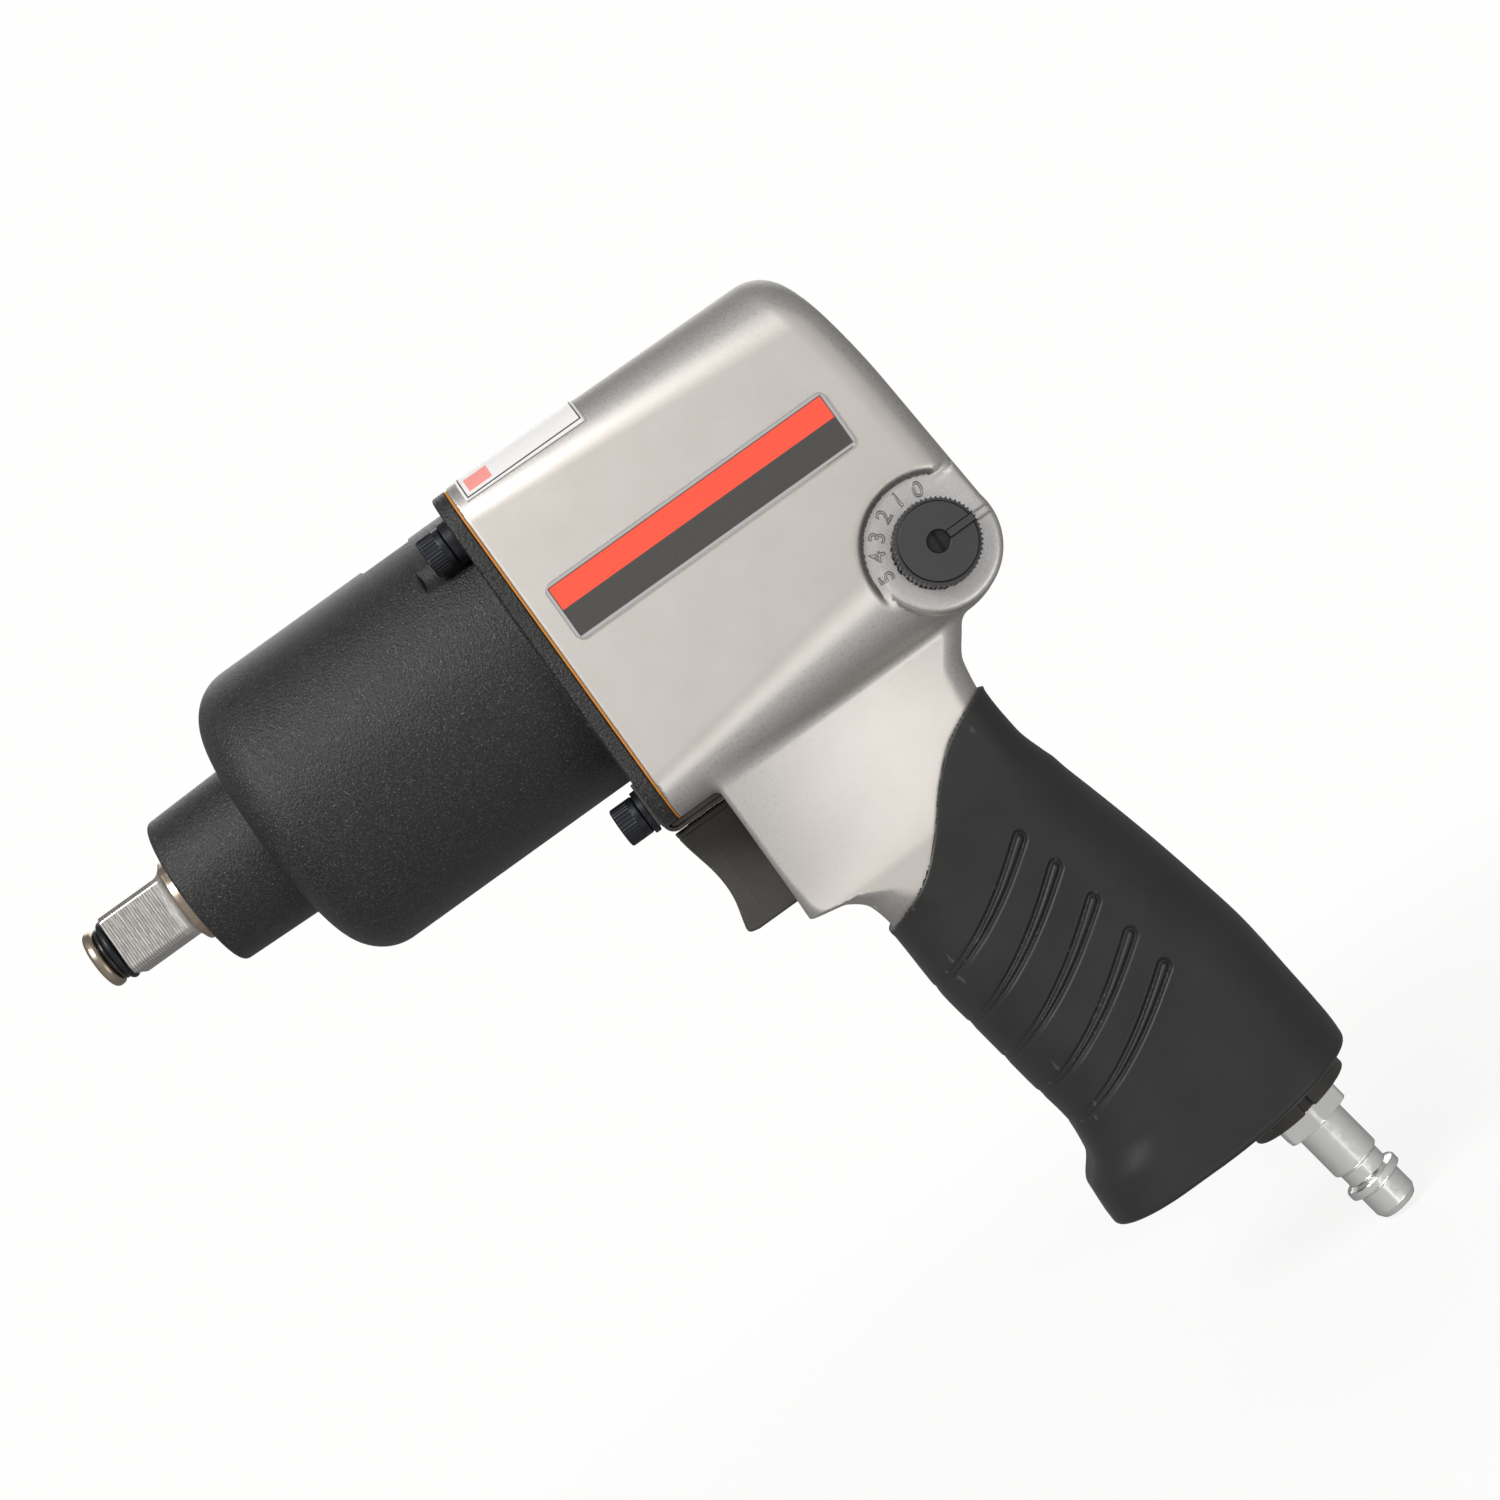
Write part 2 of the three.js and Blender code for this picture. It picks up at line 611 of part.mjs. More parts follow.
/** Open friction ring that grips the socket. */
function retainingRing() {
  const { grooveFrom, grooveTo } = ANVIL;
  const whole = ring(grooveFrom + 1.1, grooveTo - 0.2, 4.8, 6.35, 28);
  return whole.subtract(box(grooveFrom, grooveTo, -1.2, 1.2, 0, 9));
}

/** O-ring as a small lathe-turned torus about X. */
function oRing(x, radius, wire, segments = 20) {
  const section = [];
  for (let i = 0; i <= 6; i++) {
    const angle = i * Math.PI / 3;
    section.push([x + wire * Math.cos(angle), radius + wire * Math.sin(angle)]);
  }
  return turned(section, segments);
}

function anvilBushing() {
  return ring(CASE.front + 0.6, CASE.wall + 0.2, ANVIL.journal + RUN, CASE.bore - SIT, 28);
}

/** Cage that carries the two hammers: two discs joined by two side walls. */
function hammerFrame() {
  const { outer, webIn, pinAt, pin, front, back } = CLUTCH;
  const frontDisc = ring(front, front + 3.6, 12.7, outer, 32);
  const socket = acrossX(new THREE.Shape(hexagon(14.2)), back - 5, back + 1);
  const rearDisc = bar(back - 4, back, outer, 32).subtract(socket);
  const side = ring(front, back, webIn, outer, 32).intersect(box(front, back, -40, 40, -9, 9));
  let body = frontDisc.add(rearDisc).add(side);
  for (const z of [-pinAt, pinAt]) {
    body = body.subtract(moved(bar(front - 1, back + 1, holeFor(pin + RUN, 16), 16), 0, 0, z));
  }
  return body;
}

/** Hammer ring: it swings on one pin and its slot straddles the other. */
function hammer(from, to, side) {
  const { ring: outside, bore, pinAt, pin } = CLUTCH;
  const slot = 5.9;
  let body = bar(from, to, outside, 32).add(moved(bar(from, to, 5.4, 20), 0, 0, side * pinAt));
  body = body.subtract(bar(from - 1, to + 1, holeFor(bore, 28), 28));
  body = body.subtract(moved(bar(from - 1, to + 1, holeFor(pin + RUN, 16), 16), 0, 0, side * pinAt));
  const low = side > 0 ? -30 : 15.6;
  return body.subtract(box(from - 1, to + 1, -slot, slot, low, low + 14.4));
}

const anvilGroup = new THREE.Group();
anvilGroup.rotation.x = ANVIL_TURN;
node('anvil', anvil(), finish.groundSteel, anvilGroup);
node('socket_retaining_ring', retainingRing(), finish.blackOxide, anvilGroup);
node('retaining_ring_seal', oRing(ANVIL.grooveFrom + 0.55, 5.15, 0.5), finish.rubber, anvilGroup);
tool.add(anvilGroup);

node('anvil_bushing', anvilBushing(), finish.bronze);
node('hammer_frame', hammerFrame(), finish.hardSteel);
node('hammer_front', hammer(HAMMER_FRONT.from, HAMMER_FRONT.to, 1), finish.hardSteel);
node('hammer_rear', hammer(HAMMER_REAR.from, HAMMER_REAR.to, -1), finish.hardSteel);
[CLUTCH.pinAt, -CLUTCH.pinAt].forEach((z, i) => {
  const pin = bar(CLUTCH.front + 0.2, CLUTCH.back - 0.2, CLUTCH.pin, 16);
  node(`hammer_pin_${i + 1}`, moved(pin, 0, 0, z), finish.groundSteel);
});
node('frame_washer_front', ring(CASE.wall + 0.15, CLUTCH.front - 0.15, 13.2, 24, 24), finish.hardSteel);
node('frame_washer_rear', ring(CLUTCH.back + 0.15, CLUTCH.back + 1.1, 14, 24, 24), finish.hardSteel);

// ---------------------------------------------------------------------------------------------
// Vane motor
// ---------------------------------------------------------------------------------------------

const VANES = 6;
const VANE = { thick: 2, slotThick: 2.3, slotFloor: 9.6, inner: 9.9, outer: 18.2 };

function cylinderLiner() {
  const { from, to } = LINER;
  const hole = bar(from - 1, to + 1, holeFor(MOTOR.chamber, 36), 36);
  let body = bar(from, to, MOTOR.liner, 32).subtract(moved(hole, 0, 0, -MOTOR.offset));
  for (const x of [20, 27]) {
    body = body.subtract(box(x, x + 3, -6, 6, -30, -15));
  }
  return body.subtract(moved(bar(from - 1, from + 6, 1.6, 12), 0, 0, 24));
}

/** Round plate that closes the cylinder, with a pocket for its bearing on the far side of it. */
function endPlate({ from, to }, pocketFrom, pocketTo) {
  const plate = ring(from, to, 8.6, MOTOR.liner, 32);
  return plate.subtract(bar(pocketFrom, pocketTo, holeFor(BEARING.outer + SIT, 24), 24));
}

/** Sealed ball bearing as one ring, with its shields sunk between the races. */
function bearing(from) {
  const { outer, inner, width } = BEARING;
  const to = from + width;
  const body = ring(from, to, inner + SIT, outer, 20);
  return body.subtract(ring(from - 1, from + 0.5, 8, 11, 20)).subtract(ring(to - 0.5, to + 1, 8, 11, 20));
}

function rotor() {
  const front = LINER.from + 0.3;
  const rear = LINER.to - 0.3;
  const shaft = BEARING.inner;
  const body = turned([
    [CLUTCH.back + 0.2, 0], [CLUTCH.back + 0.2, shaft], [front - 1.4, shaft], [front - 1.4, 8], [front, 8],
    [front, MOTOR.rotor], [rear, MOTOR.rotor], [rear, 8], [rear + 1.4, 8], [rear + 1.4, shaft],
    [PLATE_REAR.to - 0.2, shaft], [PLATE_REAR.to - 0.2, 0],
  ], 32);
  const drive = acrossX(new THREE.Shape(hexagon(13.6)), CLUTCH.back - 3.8, 0);
  let cut = body.add(drive.intersect(bar(-12, 1, 7.4, 24)));
  for (let i = 0; i < VANES; i++) {
    const slot = box(front - 3, rear + 3, -VANE.slotThick / 2, VANE.slotThick / 2, VANE.slotFloor, 30);
    cut = cut.subtract(slot.rotate([i * 360 / VANES, 0, 0]));
  }
  return cut;
}

function vane() {
  return box(LINER.from + 0.4, LINER.to - 0.4, -VANE.thick / 2, VANE.thick / 2, VANE.inner, VANE.outer);
}

node('cylinder', cylinderLiner(), finish.hardSteel);
const dowel = moved(bar(PLATE_FRONT.from + 0.3, LINER.from + 5, 1.5, 12), 0, 0, 24);
node('cylinder_dowel', dowel, finish.groundSteel);
const doweled = moved(bar(PLATE_FRONT.from - 1, PLATE_FRONT.to + 1, 1.65, 12), 0, 0, 24);
const frontPlate = endPlate(PLATE_FRONT, PLATE_FRONT.from - 1, PLATE_FRONT.from + BEARING.width + 0.2);
node('front_end_plate', frontPlate.subtract(doweled), finish.hardSteel);
const rearPlate = endPlate(PLATE_REAR, PLATE_REAR.to - BEARING.width - 0.2, PLATE_REAR.to + 1);
node('rear_end_plate', rearPlate, finish.hardSteel);
node('front_rotor_bearing', bearing(PLATE_FRONT.from + 0.1), finish.groundSteel);
node('rear_rotor_bearing', bearing(PLATE_REAR.to - BEARING.width - 0.1), finish.groundSteel);
const rearSeal = ring(PLATE_REAR.to + 0.1, MOTOR.end - 0.3, 13.5, MOTOR.liner - 0.2);
node('rear_plate_seal', rearSeal, finish.gasketPaper);
node('motor_clamp_washer', ring(-3.2, PLATE_FRONT.from - 0.1, 16, 26.8), finish.hardSteel);
node('rotor', rotor(), finish.hardSteel);
for (let i = 0; i < VANES; i++) {
  node(`vane_${i + 1}`, vane(), finish.resin).rotation.x = i * 2 * Math.PI / VANES;
}

// ---------------------------------------------------------------------------------------------
// Regulator
// ---------------------------------------------------------------------------------------------

/** Knob with a knurled rim, a centre hole and a raised pointer that starts along +X. */
function regulatorKnob() {
  const teeth = 28;
  const outline = [];
  for (let i = 0; i < 2 * teeth; i++) {
    const radius = i % 2 ? REG.knob - 0.35 : REG.knob;
    const angle = i * Math.PI / teeth;
    outline.push([radius * Math.cos(angle), radius * Math.sin(angle)]);
  }
  const near = REG.face - 0.3;
  const face = near - REG.knobLong;
  const rim = acrossY(shapeOf(outline), REG.knobLong, (near + face) / 2);
  const pointer = box(2.6, REG.knob - 0.5, face - 0.7, face + 1, -0.7, 0.7);
  const hole = alongMinusY(bar(-near - 1, -face + 2, 2, 16));
  const stubHole = alongMinusY(bar(-near - 1, -near + 3.2, holeFor(3.1, 16), 16));
  const headHole = alongMinusY(bar(-face - 2.2, -face + 2, 3, 16));
  const detent = moved(alongMinusY(bar(-near - 1, -near + 5, 1.75, 12)), 0, 0, REG.detentAt);
  return rim.add(pointer).subtract(hole).subtract(stubHole).subtract(headHole).subtract(detent);
}

function regulatorSpool() {
  const near = -REG.face;
  const body = turned([
    [-20, 0], [-20, REG.spool], [29, REG.spool], [29, 4.4], [31, 4.4], [31, REG.spool], [33, REG.spool],
    [33, 3], [near + 3, 3], [near + 3, 0],
  ], 24);
  const ports = box(-14, -4, -7, 7, 1.2, 9).add(box(4, 14, -7, 7, 1.2, 9));
  const thread = bar(near - 4, near + 9, 1.45, 12);
  return alongMinusY(body.subtract(ports).subtract(thread));
}

function regulatorBushing() {
  const body = ring(-22, -REG.face - REG.track - SIT, REG.spool + RUN, REG.bushing, 24);
  const ports = box(-14, -4, -3, 3, -12, 12).add(box(4, 14, -3, 3, -12, 12));
  return alongMinusY(body.subtract(ports));
}

function knobScrew() {
  const face = -REG.face + 0.3 + REG.knobLong;
  const tip = -REG.face - 3;
  const under = face - 2;
  const top = face - 0.6;
  const profile = [[tip, 0], [tip, 1.3], [under, 1.3], [under, 2.7], [top, 2.7], [top, 0]];
  return alongMinusY(turned(profile, 16).subtract(box(face - 1.2, face, -0.35, 0.35, -4, 4)));
}

const regulator = new THREE.Group();
regulator.position.set(REG.x, 0, REG.z);
node('regulator_bushing', regulatorBushing(), finish.bronze, regulator);
node('regulator_valve', regulatorSpool(), finish.groundSteel, regulator);
node('regulator_seal', alongMinusY(oRing(30, 5.15, 0.65)), finish.rubber, regulator);
node('regulator_knob', regulatorKnob(), finish.blackOxide, regulator);
node('knob_screw', knobScrew(), finish.blackOxide, regulator);
const ball = solid(new THREE.SphereGeometry(1.55, 12, 8));
node('detent_ball', moved(ball, 0, REG.face - 0.8, REG.detentAt), finish.groundSteel, regulator);
const detentCoil = alongMinusY(coil(1.1, 0.22, 2.1, 3, 6).rotate([0, 90, 0]));
node('detent_spring', moved(detentCoil, 0, REG.face - 2.7, REG.detentAt), finish.groundSteel, regulator);
tool.add(regulator);

// ---------------------------------------------------------------------------------------------
// Trigger and throttle
// ---------------------------------------------------------------------------------------------

/** Finger trigger with a shallow hollow at its front and a skirt that enters the housing. */
function trigger() {
  const { front, back, top, bottom, half } = TRIGGER;
  const outline = new THREE.Shape();
  outline.moveTo(front, top);
  outline.bezierCurveTo(front + 0.4, -50, front + 2.4, -54, front + 2.4, -58.5);
  outline.bezierCurveTo(front + 2.4, -62, front + 1.4, -64, front + 0.7, bottom + 1.6);
  outline.quadraticCurveTo(front + 0.5, bottom, front + 2.2, bottom);
  outline.lineTo(back, bottom);
  outline.lineTo(back, top);
  const body = acrossY(outline, 2 * half, 0, 5);
  const hollow = box(4, back + 1, -half + 1.8, half - 1.8, bottom + 1.8, top - 1.8);
  const rodSeat = moved(bar(-1, 6, 4, 16), 0, 0, TRIGGER.rodZ);
  return body.subtract(hollow).add(rodSeat.intersect(box(1, 5.6, -9, 9, -70, -45)))
    .subtract(moved(bar(3, 9, holeFor(1.65, 16), 16), 0, 0, TRIGGER.rodZ));
}

function tipValve() {
  const head = alongZ(bar(INLET.seat - 3, INLET.seat - 0.3, 6, 24));
  const stem = alongZ(bar(INLET.seat - 1, INLET.stemTop, 1.3, 12));
  return head.add(stem);
}

const THROTTLE_SPRING = { from: 46, long: 31 };

const throttle = new THREE.Group();
throttle.position.set(FOOT.x, 0, FOOT.z);
throttle.rotation.y = -TILT;
node('tip_valve', tipValve(), finish.rubber, throttle);
const valveSeat = alongZ(ring(INLET.seat, INLET.seat + 2.9, 4.4, INLET.bushing - 0.05, 24));
node('valve_seat', valveSeat, finish.bronze, throttle);
const throttleCoil = moved(coil(4.6, 0.6, THROTTLE_SPRING.long, 5, 9), 0, 0, THROTTLE_SPRING.from);
node('valve_spring', throttleCoil, finish.groundSteel, throttle);

node('trigger', trigger(), finish.blackPlastic);
node('trigger_rod', moved(bar(3.2, 46.6, 1.6, 14), 0, 0, TRIGGER.rodZ), finish.groundSteel);
node('trigger_bushing', moved(ring(15, 43.5, 1.6 + RUN, 3.8, 16), 0, 0, TRIGGER.rodZ), finish.bronze);

// ---------------------------------------------------------------------------------------------
// Air inlet, on the leaning axis of the handle
// ---------------------------------------------------------------------------------------------

function inletBushing() {
  const sleeve = alongZ(bar(HANDLE_END - 0.3, 24, INLET.bushing, 28));
  return sleeve.subtract(alongZ(bar(-2, 26, holeFor(5.1, 24), 24)));
}

/** Strainer cup: open at the bottom, closed by a dome of stepped mesh at the top. */
function inletStrainer() {
  const cup = turned([
    [24.2, 4.6], [24.2, 7.4], [25, 7.4], [25, 5.2], [40, 4.2], [41, 3], [41, 0], [40.3, 0], [40.3, 2.6],
    [39.6, 3.6], [25, 4.6], [24.2, 4.6],
  ], 20);
  return alongZ(cup);
}

/** Air plug: threaded stem, hexagon, neck, locking groove and tip. */
function airPlug() {
  const bodyShape = turned([
    [-29, 0], [-29, 3.9], [-28.2, 4.6], [-23.1, 4.6], [-22.4, 5.9], [-20.9, 5.9], [-20.2, 4.4], [-17.4, 4.4],
    [-16.7, 5.3], [-4, 5.3], [-4, 4.9], [18, 4.9], [18, 0],
  ], 20);
  const hex = acrossX(new THREE.Shape(hexagon(13.4)), -6.1, -1.6);
  return alongZ(bodyShape.add(hex).subtract(bar(-30, 19, 3, 16)));
}

/** Flat ring around the inlet that turns to steer the exhaust, with a notch to grip it by. */
function exhaustDeflector() {
  const body = ring(-1.4, HANDLE_END - 0.6, 5.7, 11.2, 28);
  return alongZ(body.subtract(box(-2, 0.6, -1.2, 1.2, -12, -9.6)));
}

const inlet = new THREE.Group();
inlet.position.copy(throttle.position);
inlet.rotation.copy(throttle.rotation);
node('inlet_bushing', inletBushing(), finish.hardSteel, inlet);
node('inlet_strainer', inletStrainer(), finish.zinc, inlet);
node('air_plug', airPlug(), finish.zinc, inlet);
node('exhaust_deflector', exhaustDeflector(), finish.blackPlastic, inlet);
tool.add(throttle, inlet);

export default wrench;
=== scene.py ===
"""Air impact wrench: its visible casting, rubber, steel and plastic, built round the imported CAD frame.

Shapes are written in millimetres from a plane just ahead of the joint between the hammer case and the
motor housing: x to the rear, y away from the camera, z up. mesh_of() moves them into the frame and turns
them into metres.
"""

import json
import math

import bpy
import numpy as np
from mathutils import Matrix, Vector


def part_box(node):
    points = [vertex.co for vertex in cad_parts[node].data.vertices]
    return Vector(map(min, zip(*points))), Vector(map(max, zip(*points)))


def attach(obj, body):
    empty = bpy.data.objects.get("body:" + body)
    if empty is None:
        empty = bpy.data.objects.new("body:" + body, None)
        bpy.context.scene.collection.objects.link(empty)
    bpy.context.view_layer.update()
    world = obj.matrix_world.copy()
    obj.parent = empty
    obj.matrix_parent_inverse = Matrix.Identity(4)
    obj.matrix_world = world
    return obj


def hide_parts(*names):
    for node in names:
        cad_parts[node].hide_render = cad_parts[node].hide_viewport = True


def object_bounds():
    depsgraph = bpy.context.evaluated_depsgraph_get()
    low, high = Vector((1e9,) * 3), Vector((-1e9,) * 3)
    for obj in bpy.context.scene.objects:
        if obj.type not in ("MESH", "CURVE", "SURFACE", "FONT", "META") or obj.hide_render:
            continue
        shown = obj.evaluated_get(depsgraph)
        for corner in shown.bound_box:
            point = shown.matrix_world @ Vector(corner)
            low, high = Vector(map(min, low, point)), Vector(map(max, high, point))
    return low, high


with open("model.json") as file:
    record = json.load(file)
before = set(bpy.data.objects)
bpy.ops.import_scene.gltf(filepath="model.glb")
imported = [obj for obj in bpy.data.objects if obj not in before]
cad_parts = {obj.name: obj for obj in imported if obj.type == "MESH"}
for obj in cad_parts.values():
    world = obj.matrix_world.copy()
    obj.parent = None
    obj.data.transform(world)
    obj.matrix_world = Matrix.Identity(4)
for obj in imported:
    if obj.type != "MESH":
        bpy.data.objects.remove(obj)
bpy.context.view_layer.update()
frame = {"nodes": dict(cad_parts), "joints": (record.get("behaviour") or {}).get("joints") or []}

# ---- Sizes, from the frame

MM = 0.001
CASE_END = 0.7  # where the rear face of the hammer case stands, from the plane of measurement
PLANE_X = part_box("hammer_case")[1].x / MM - CASE_END
SHIFT = np.array([PLANE_X, 0, 0])
joints = {j["name"]: j for j in frame["joints"]}


def span(node):
    """Lowest and highest corner of a CAD node, in millimetres from the plane of measurement."""
    low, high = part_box(node)
    return np.array(low) / MM - SHIFT, np.array(high) / MM - SHIFT


def joint_place(name):
    return np.array(joints[name]["pos_m"]) / MM - SHIFT


def axis_of(node):
    """Where the middle of a CAD node stands, as (y, z)."""
    low, high = span(node)
    return tuple((low[1:] + high[1:]) / 2)


case_low, case_high = span("hammer_case")
housing_low, housing_high = span("motor_housing")
grip_low, _ = span("grip_sleeve")
knob_low, knob_high = span("regulator_knob")
trigger_low, trigger_high = span("trigger")
plate_low, plate_high = span("name_plate")
strap_low, strap_high = span("trigger_strap")
label_low, label_high = span("top_label")

REG_X, _, REG_Z = joint_place("regulator_turn")
REG = (REG_X, REG_Z)
REG_FACE = knob_high[1] + 0.3  # the flat around the regulator
LEDGE = 10.7  # height of the ledge that runs from the regulator to the rear
FOOT = joint_place("deflector_turn")
FOOT_DOWN = np.array(joints["deflector_turn"]["axis"])
HANDLE_END = 2.5  # the rubber ends this far up the inlet axis
ANVIL_TURN = math.radians(-3)
DRIVE = 12.7  # across the flats of the square
JOINT = housing_low[0]
CORNER_RADIUS = 9  # of the barrel and the flange where they meet
BARREL_HALF = housing_high[1]
BARREL_TOP = housing_high[2]
BARREL_LOW = case_low[2]
MOTOR_BORE = (27.15, 57.6)  # radius and depth
HOUSING_BACK = 78.2  # the rear face at the drive axis
REAR_LEAN = 0.075
REAR_BOW = 0.0035
REAR_FILLET = 7
HEEL = 13.2  # radius of the lower rear corner
ROD_AXIS = (0, -57)  # of the trigger rod, as (y, z)
BOSS = 12.6  # radius of the regulator's boss
FIGURE_RING = 10.5  # radius of the ring of figures on it
FLANGE_FRONT = JOINT - 3.4
NOSE, NOSE_BORE = 16.2, 12.6  # radii of the hammer case, outside and inside
DRUM, DRUM_BORE = 31.4, 27.5
SCREWS = {i: axis_of(f"lock_washer_{i}") for i in (1, 2, 3, 4)}  # the upper two, then the lower two
SCREW_HOLE = 2.7  # radius
FINE = 1
MOST_FACES = 190000  # triangles in one piece

# Handle sections from the body down to the foot: height, front edge, rear edge, half width.
HANDLE = np.array([
    [-30, 8.8, 80, 18],
    [-38, 8.8, 72, 18],
    [-41, 8.8, 68.3, 18],
    [-45, 8.7, 65.1, 18],
    [-50, 8.7, 62, 18],
    [-57, 8.6, 61.2, 18],
    [-66, 8.5, 62, 18],
    [-72.4, 8.3, 64, 18],
    [-74.4, 15.5, 64.8, 18.1],
    [-77.8, 19, 65.7, 18.2],
    [-84, 20.3, 67.6, 18.3],
    [-98, 21.1, 71.4, 18.6],
    [-110, 23, 74.2, 18.8],
    [-122, 24.9, 76.6, 19],
    [-135, 27, 78, 19.3],
    [-141, 26.5, 78.6, 19.4],
    [-147, 23, 79, 19.5],
    [-158, 22.6, 78.4, 19.5],
])
# Corner radii of the handle: height, front corner, rear corner.
CORNERS = np.array([[-40, 2, 6.5], [-60, 2, 7], [-70, 3, 9], [-78, 9, 12], [-86, 14, 14], [-150, 14, 14]])
# Upper edge of the rubber from front to rear: distance to the rear, height.
RUBBER_EDGE = np.array([[16, -86.3], [20.2, -84.1], [30.7, -79.2], [37.6, -73.1], [43.6, -66.1],
                        [50.5, -60.1], [62, -55.3], [70, -52.8]])
EDGE_SLOPE = 0.78  # turns a height over that slanting edge into a distance
# The grip's double lines: front end and rear end of each as (x, z).
SLOTS = [((21.6, -97.8), (50.8, -82.2)), ((22.4, -107.3), (53.1, -90.4)), ((24, -116.5), (55.2, -99.6)),
         ((25.7, -125.7), (57.1, -108.8)), ((27.1, -133.9), (58.8, -117.3))]
PLATE_SIZE = (62.0, 12.0)
PLATE_BORDER = 0.9
WHEEL_MARKS = 0.55  # distance between the grinding lines on the square

# ---- Distance fields: each function takes points as (x, y, z) arrays and is negative inside the shape


def slab(v, low, high):
    return np.abs(v - (low + high) / 2) - (high - low) / 2


def unit(v):
    """A share held between 0 and 1."""
    return np.clip(v, 0, 1)


def rounded(parts, radius=0.0):
    """The shape inside every part, with its edges rounded."""
    grown = [part + radius for part in parts]
    outside = np.sqrt(sum(np.maximum(part, 0) ** 2 for part in grown))
    inside = np.minimum(np.maximum.reduce(np.broadcast_arrays(*grown)), 0)
    return outside + inside - radius


def block(p, low, high, radius=0.2):
    return rounded([slab(v, a, b) for v, a, b in zip(p, low, high)], radius)


def rod(p, axis, centre, radius, low, high, edge=0.2):
    """Round bar along an axis (0, 1 or 2), centred on the two other coordinates."""
    u, v = [p[i] for i in range(3) if i != axis]
    radial = np.hypot(u - centre[0], v - centre[1]) - radius
    return rounded([radial, slab(p[axis], low, high)], edge)


def join(a, b, blend=0.0):
    if not blend:
        return np.minimum(a, b)
    h = unit(0.5 + 0.5 * (b - a) / blend)
    return b + (a - b) * h - blend * h * (1 - h)


def cut(a, b, blend=0.0):
    return -join(-a, b, blend)


def meet(a, b, blend=0.0):
    return -join(-a, -b, blend)


def path_distance(a, b, points, closed=False):
    """Distance to a line of points in a plane; negative inside it if it closes."""
    best = np.full(np.broadcast(a, b).shape, 1e9)
    inside = np.zeros(best.shape, bool)
    points = list(points)
    ends = points[1:] + (points[:1] if closed else [])
    for (a0, b0), (a1, b1) in zip(points, ends):
        da, db = a1 - a0, b1 - b0
        t = unit(((a - a0) * da + (b - b0) * db) / max(da * da + db * db, 1e-12))
        best = np.minimum(best, (a - a0 - t * da) ** 2 + (b - b0 - t * db) ** 2)
        if closed and b0 != b1:
            crosses = ((b0 > b) != (b1 > b)) & (a < da * (b - b0) / (b1 - b0) + a0)
            inside ^= crosses
    best = np.sqrt(best)
    return np.where(inside, -best, best) if closed else best


def smooth_table(table, v):
    """Columns 1 and on of a table at v, by a cubic through its rows that doesn't overshoot."""
    rows = table[np.argsort(table[:, 0])]
    keys, values = rows[:, 0], rows[:, 1:]
    step = np.diff(keys)[:, None]
    slope = np.diff(values, axis=0) / step
    tangent = np.zeros_like(values)
    same = slope[1:] * slope[:-1] > 0
    harmonic = 2 * slope[1:] * slope[:-1] / np.where(same, slope[1:] + slope[:-1], 1)
    tangent[1:-1] = np.where(same, harmonic, 0)
    v = np.clip(v, keys[0], keys[-1])
    i = np.clip(np.searchsorted(keys, v) - 1, 0, len(keys) - 2)
    h = step[i, 0]
    t = (v - keys[i]) / h
    out = []
    for c in range(values.shape[1]):
        y0, y1, m0, m1 = values[i, c], values[i + 1, c], tangent[i, c] * h, tangent[i + 1, c] * h
        out.append(y0 + t * (m0 + t * (3 * (y1 - y0) - 2 * m0 - m1 + t * (2 * (y0 - y1) + m0 + m1))))
    return out


# ---- Meshes from fields

BLOCK = 8
CORNER = np.array([[i, j, k] for i in (0, 1) for j in (0, 1) for k in (0, 1)])
EDGES = [(a, b) for a in range(8) for b in range(a + 1, 8) if np.abs(CORNER[a] - CORNER[b]).sum() == 1]


def sampled(field, low, high, step):
    """The field on a grid, worked out finely only in the blocks that its surface can pass through."""
    count = np.ceil((high - low) / step / BLOCK).astype(int) + 1
    origin = (low + high) / 2 - count * BLOCK * step / 2
    centres = [origin[i] + (np.arange(count[i]) + 0.5) * BLOCK * step for i in range(3)]
    grid = np.meshgrid(*centres, indexing="ij")
    coarse = field(tuple(grid))
    near = np.abs(coarse) < 1.3 * BLOCK * step
    blocks = (*count, BLOCK, BLOCK, BLOCK)
    values = np.broadcast_to(coarse[..., None, None, None], blocks).astype(np.float32)
    offset = (np.arange(BLOCK) + 0.5 - BLOCK / 2) * step
    fine = [grid[i][near][:, None, None, None] + offset.reshape([-1 if i == j else 1 for j in range(3)])
            for i in range(3)]
    values[near] = field(tuple(np.broadcast_arrays(*fine)))
    values = values.transpose(0, 3, 1, 4, 2, 5).reshape(count * BLOCK)
    return values, origin + step / 2


def gradient(field, points):
    h = 0.04
    columns = []
    for axis in range(3):
        ahead, behind = points.copy(), points.copy()
        ahead[:, axis] += h
        behind[:, axis] -= h
        columns.append((field(tuple(ahead.T)) - field(tuple(behind.T))) / (2 * h))
    return np.stack(columns, 1)


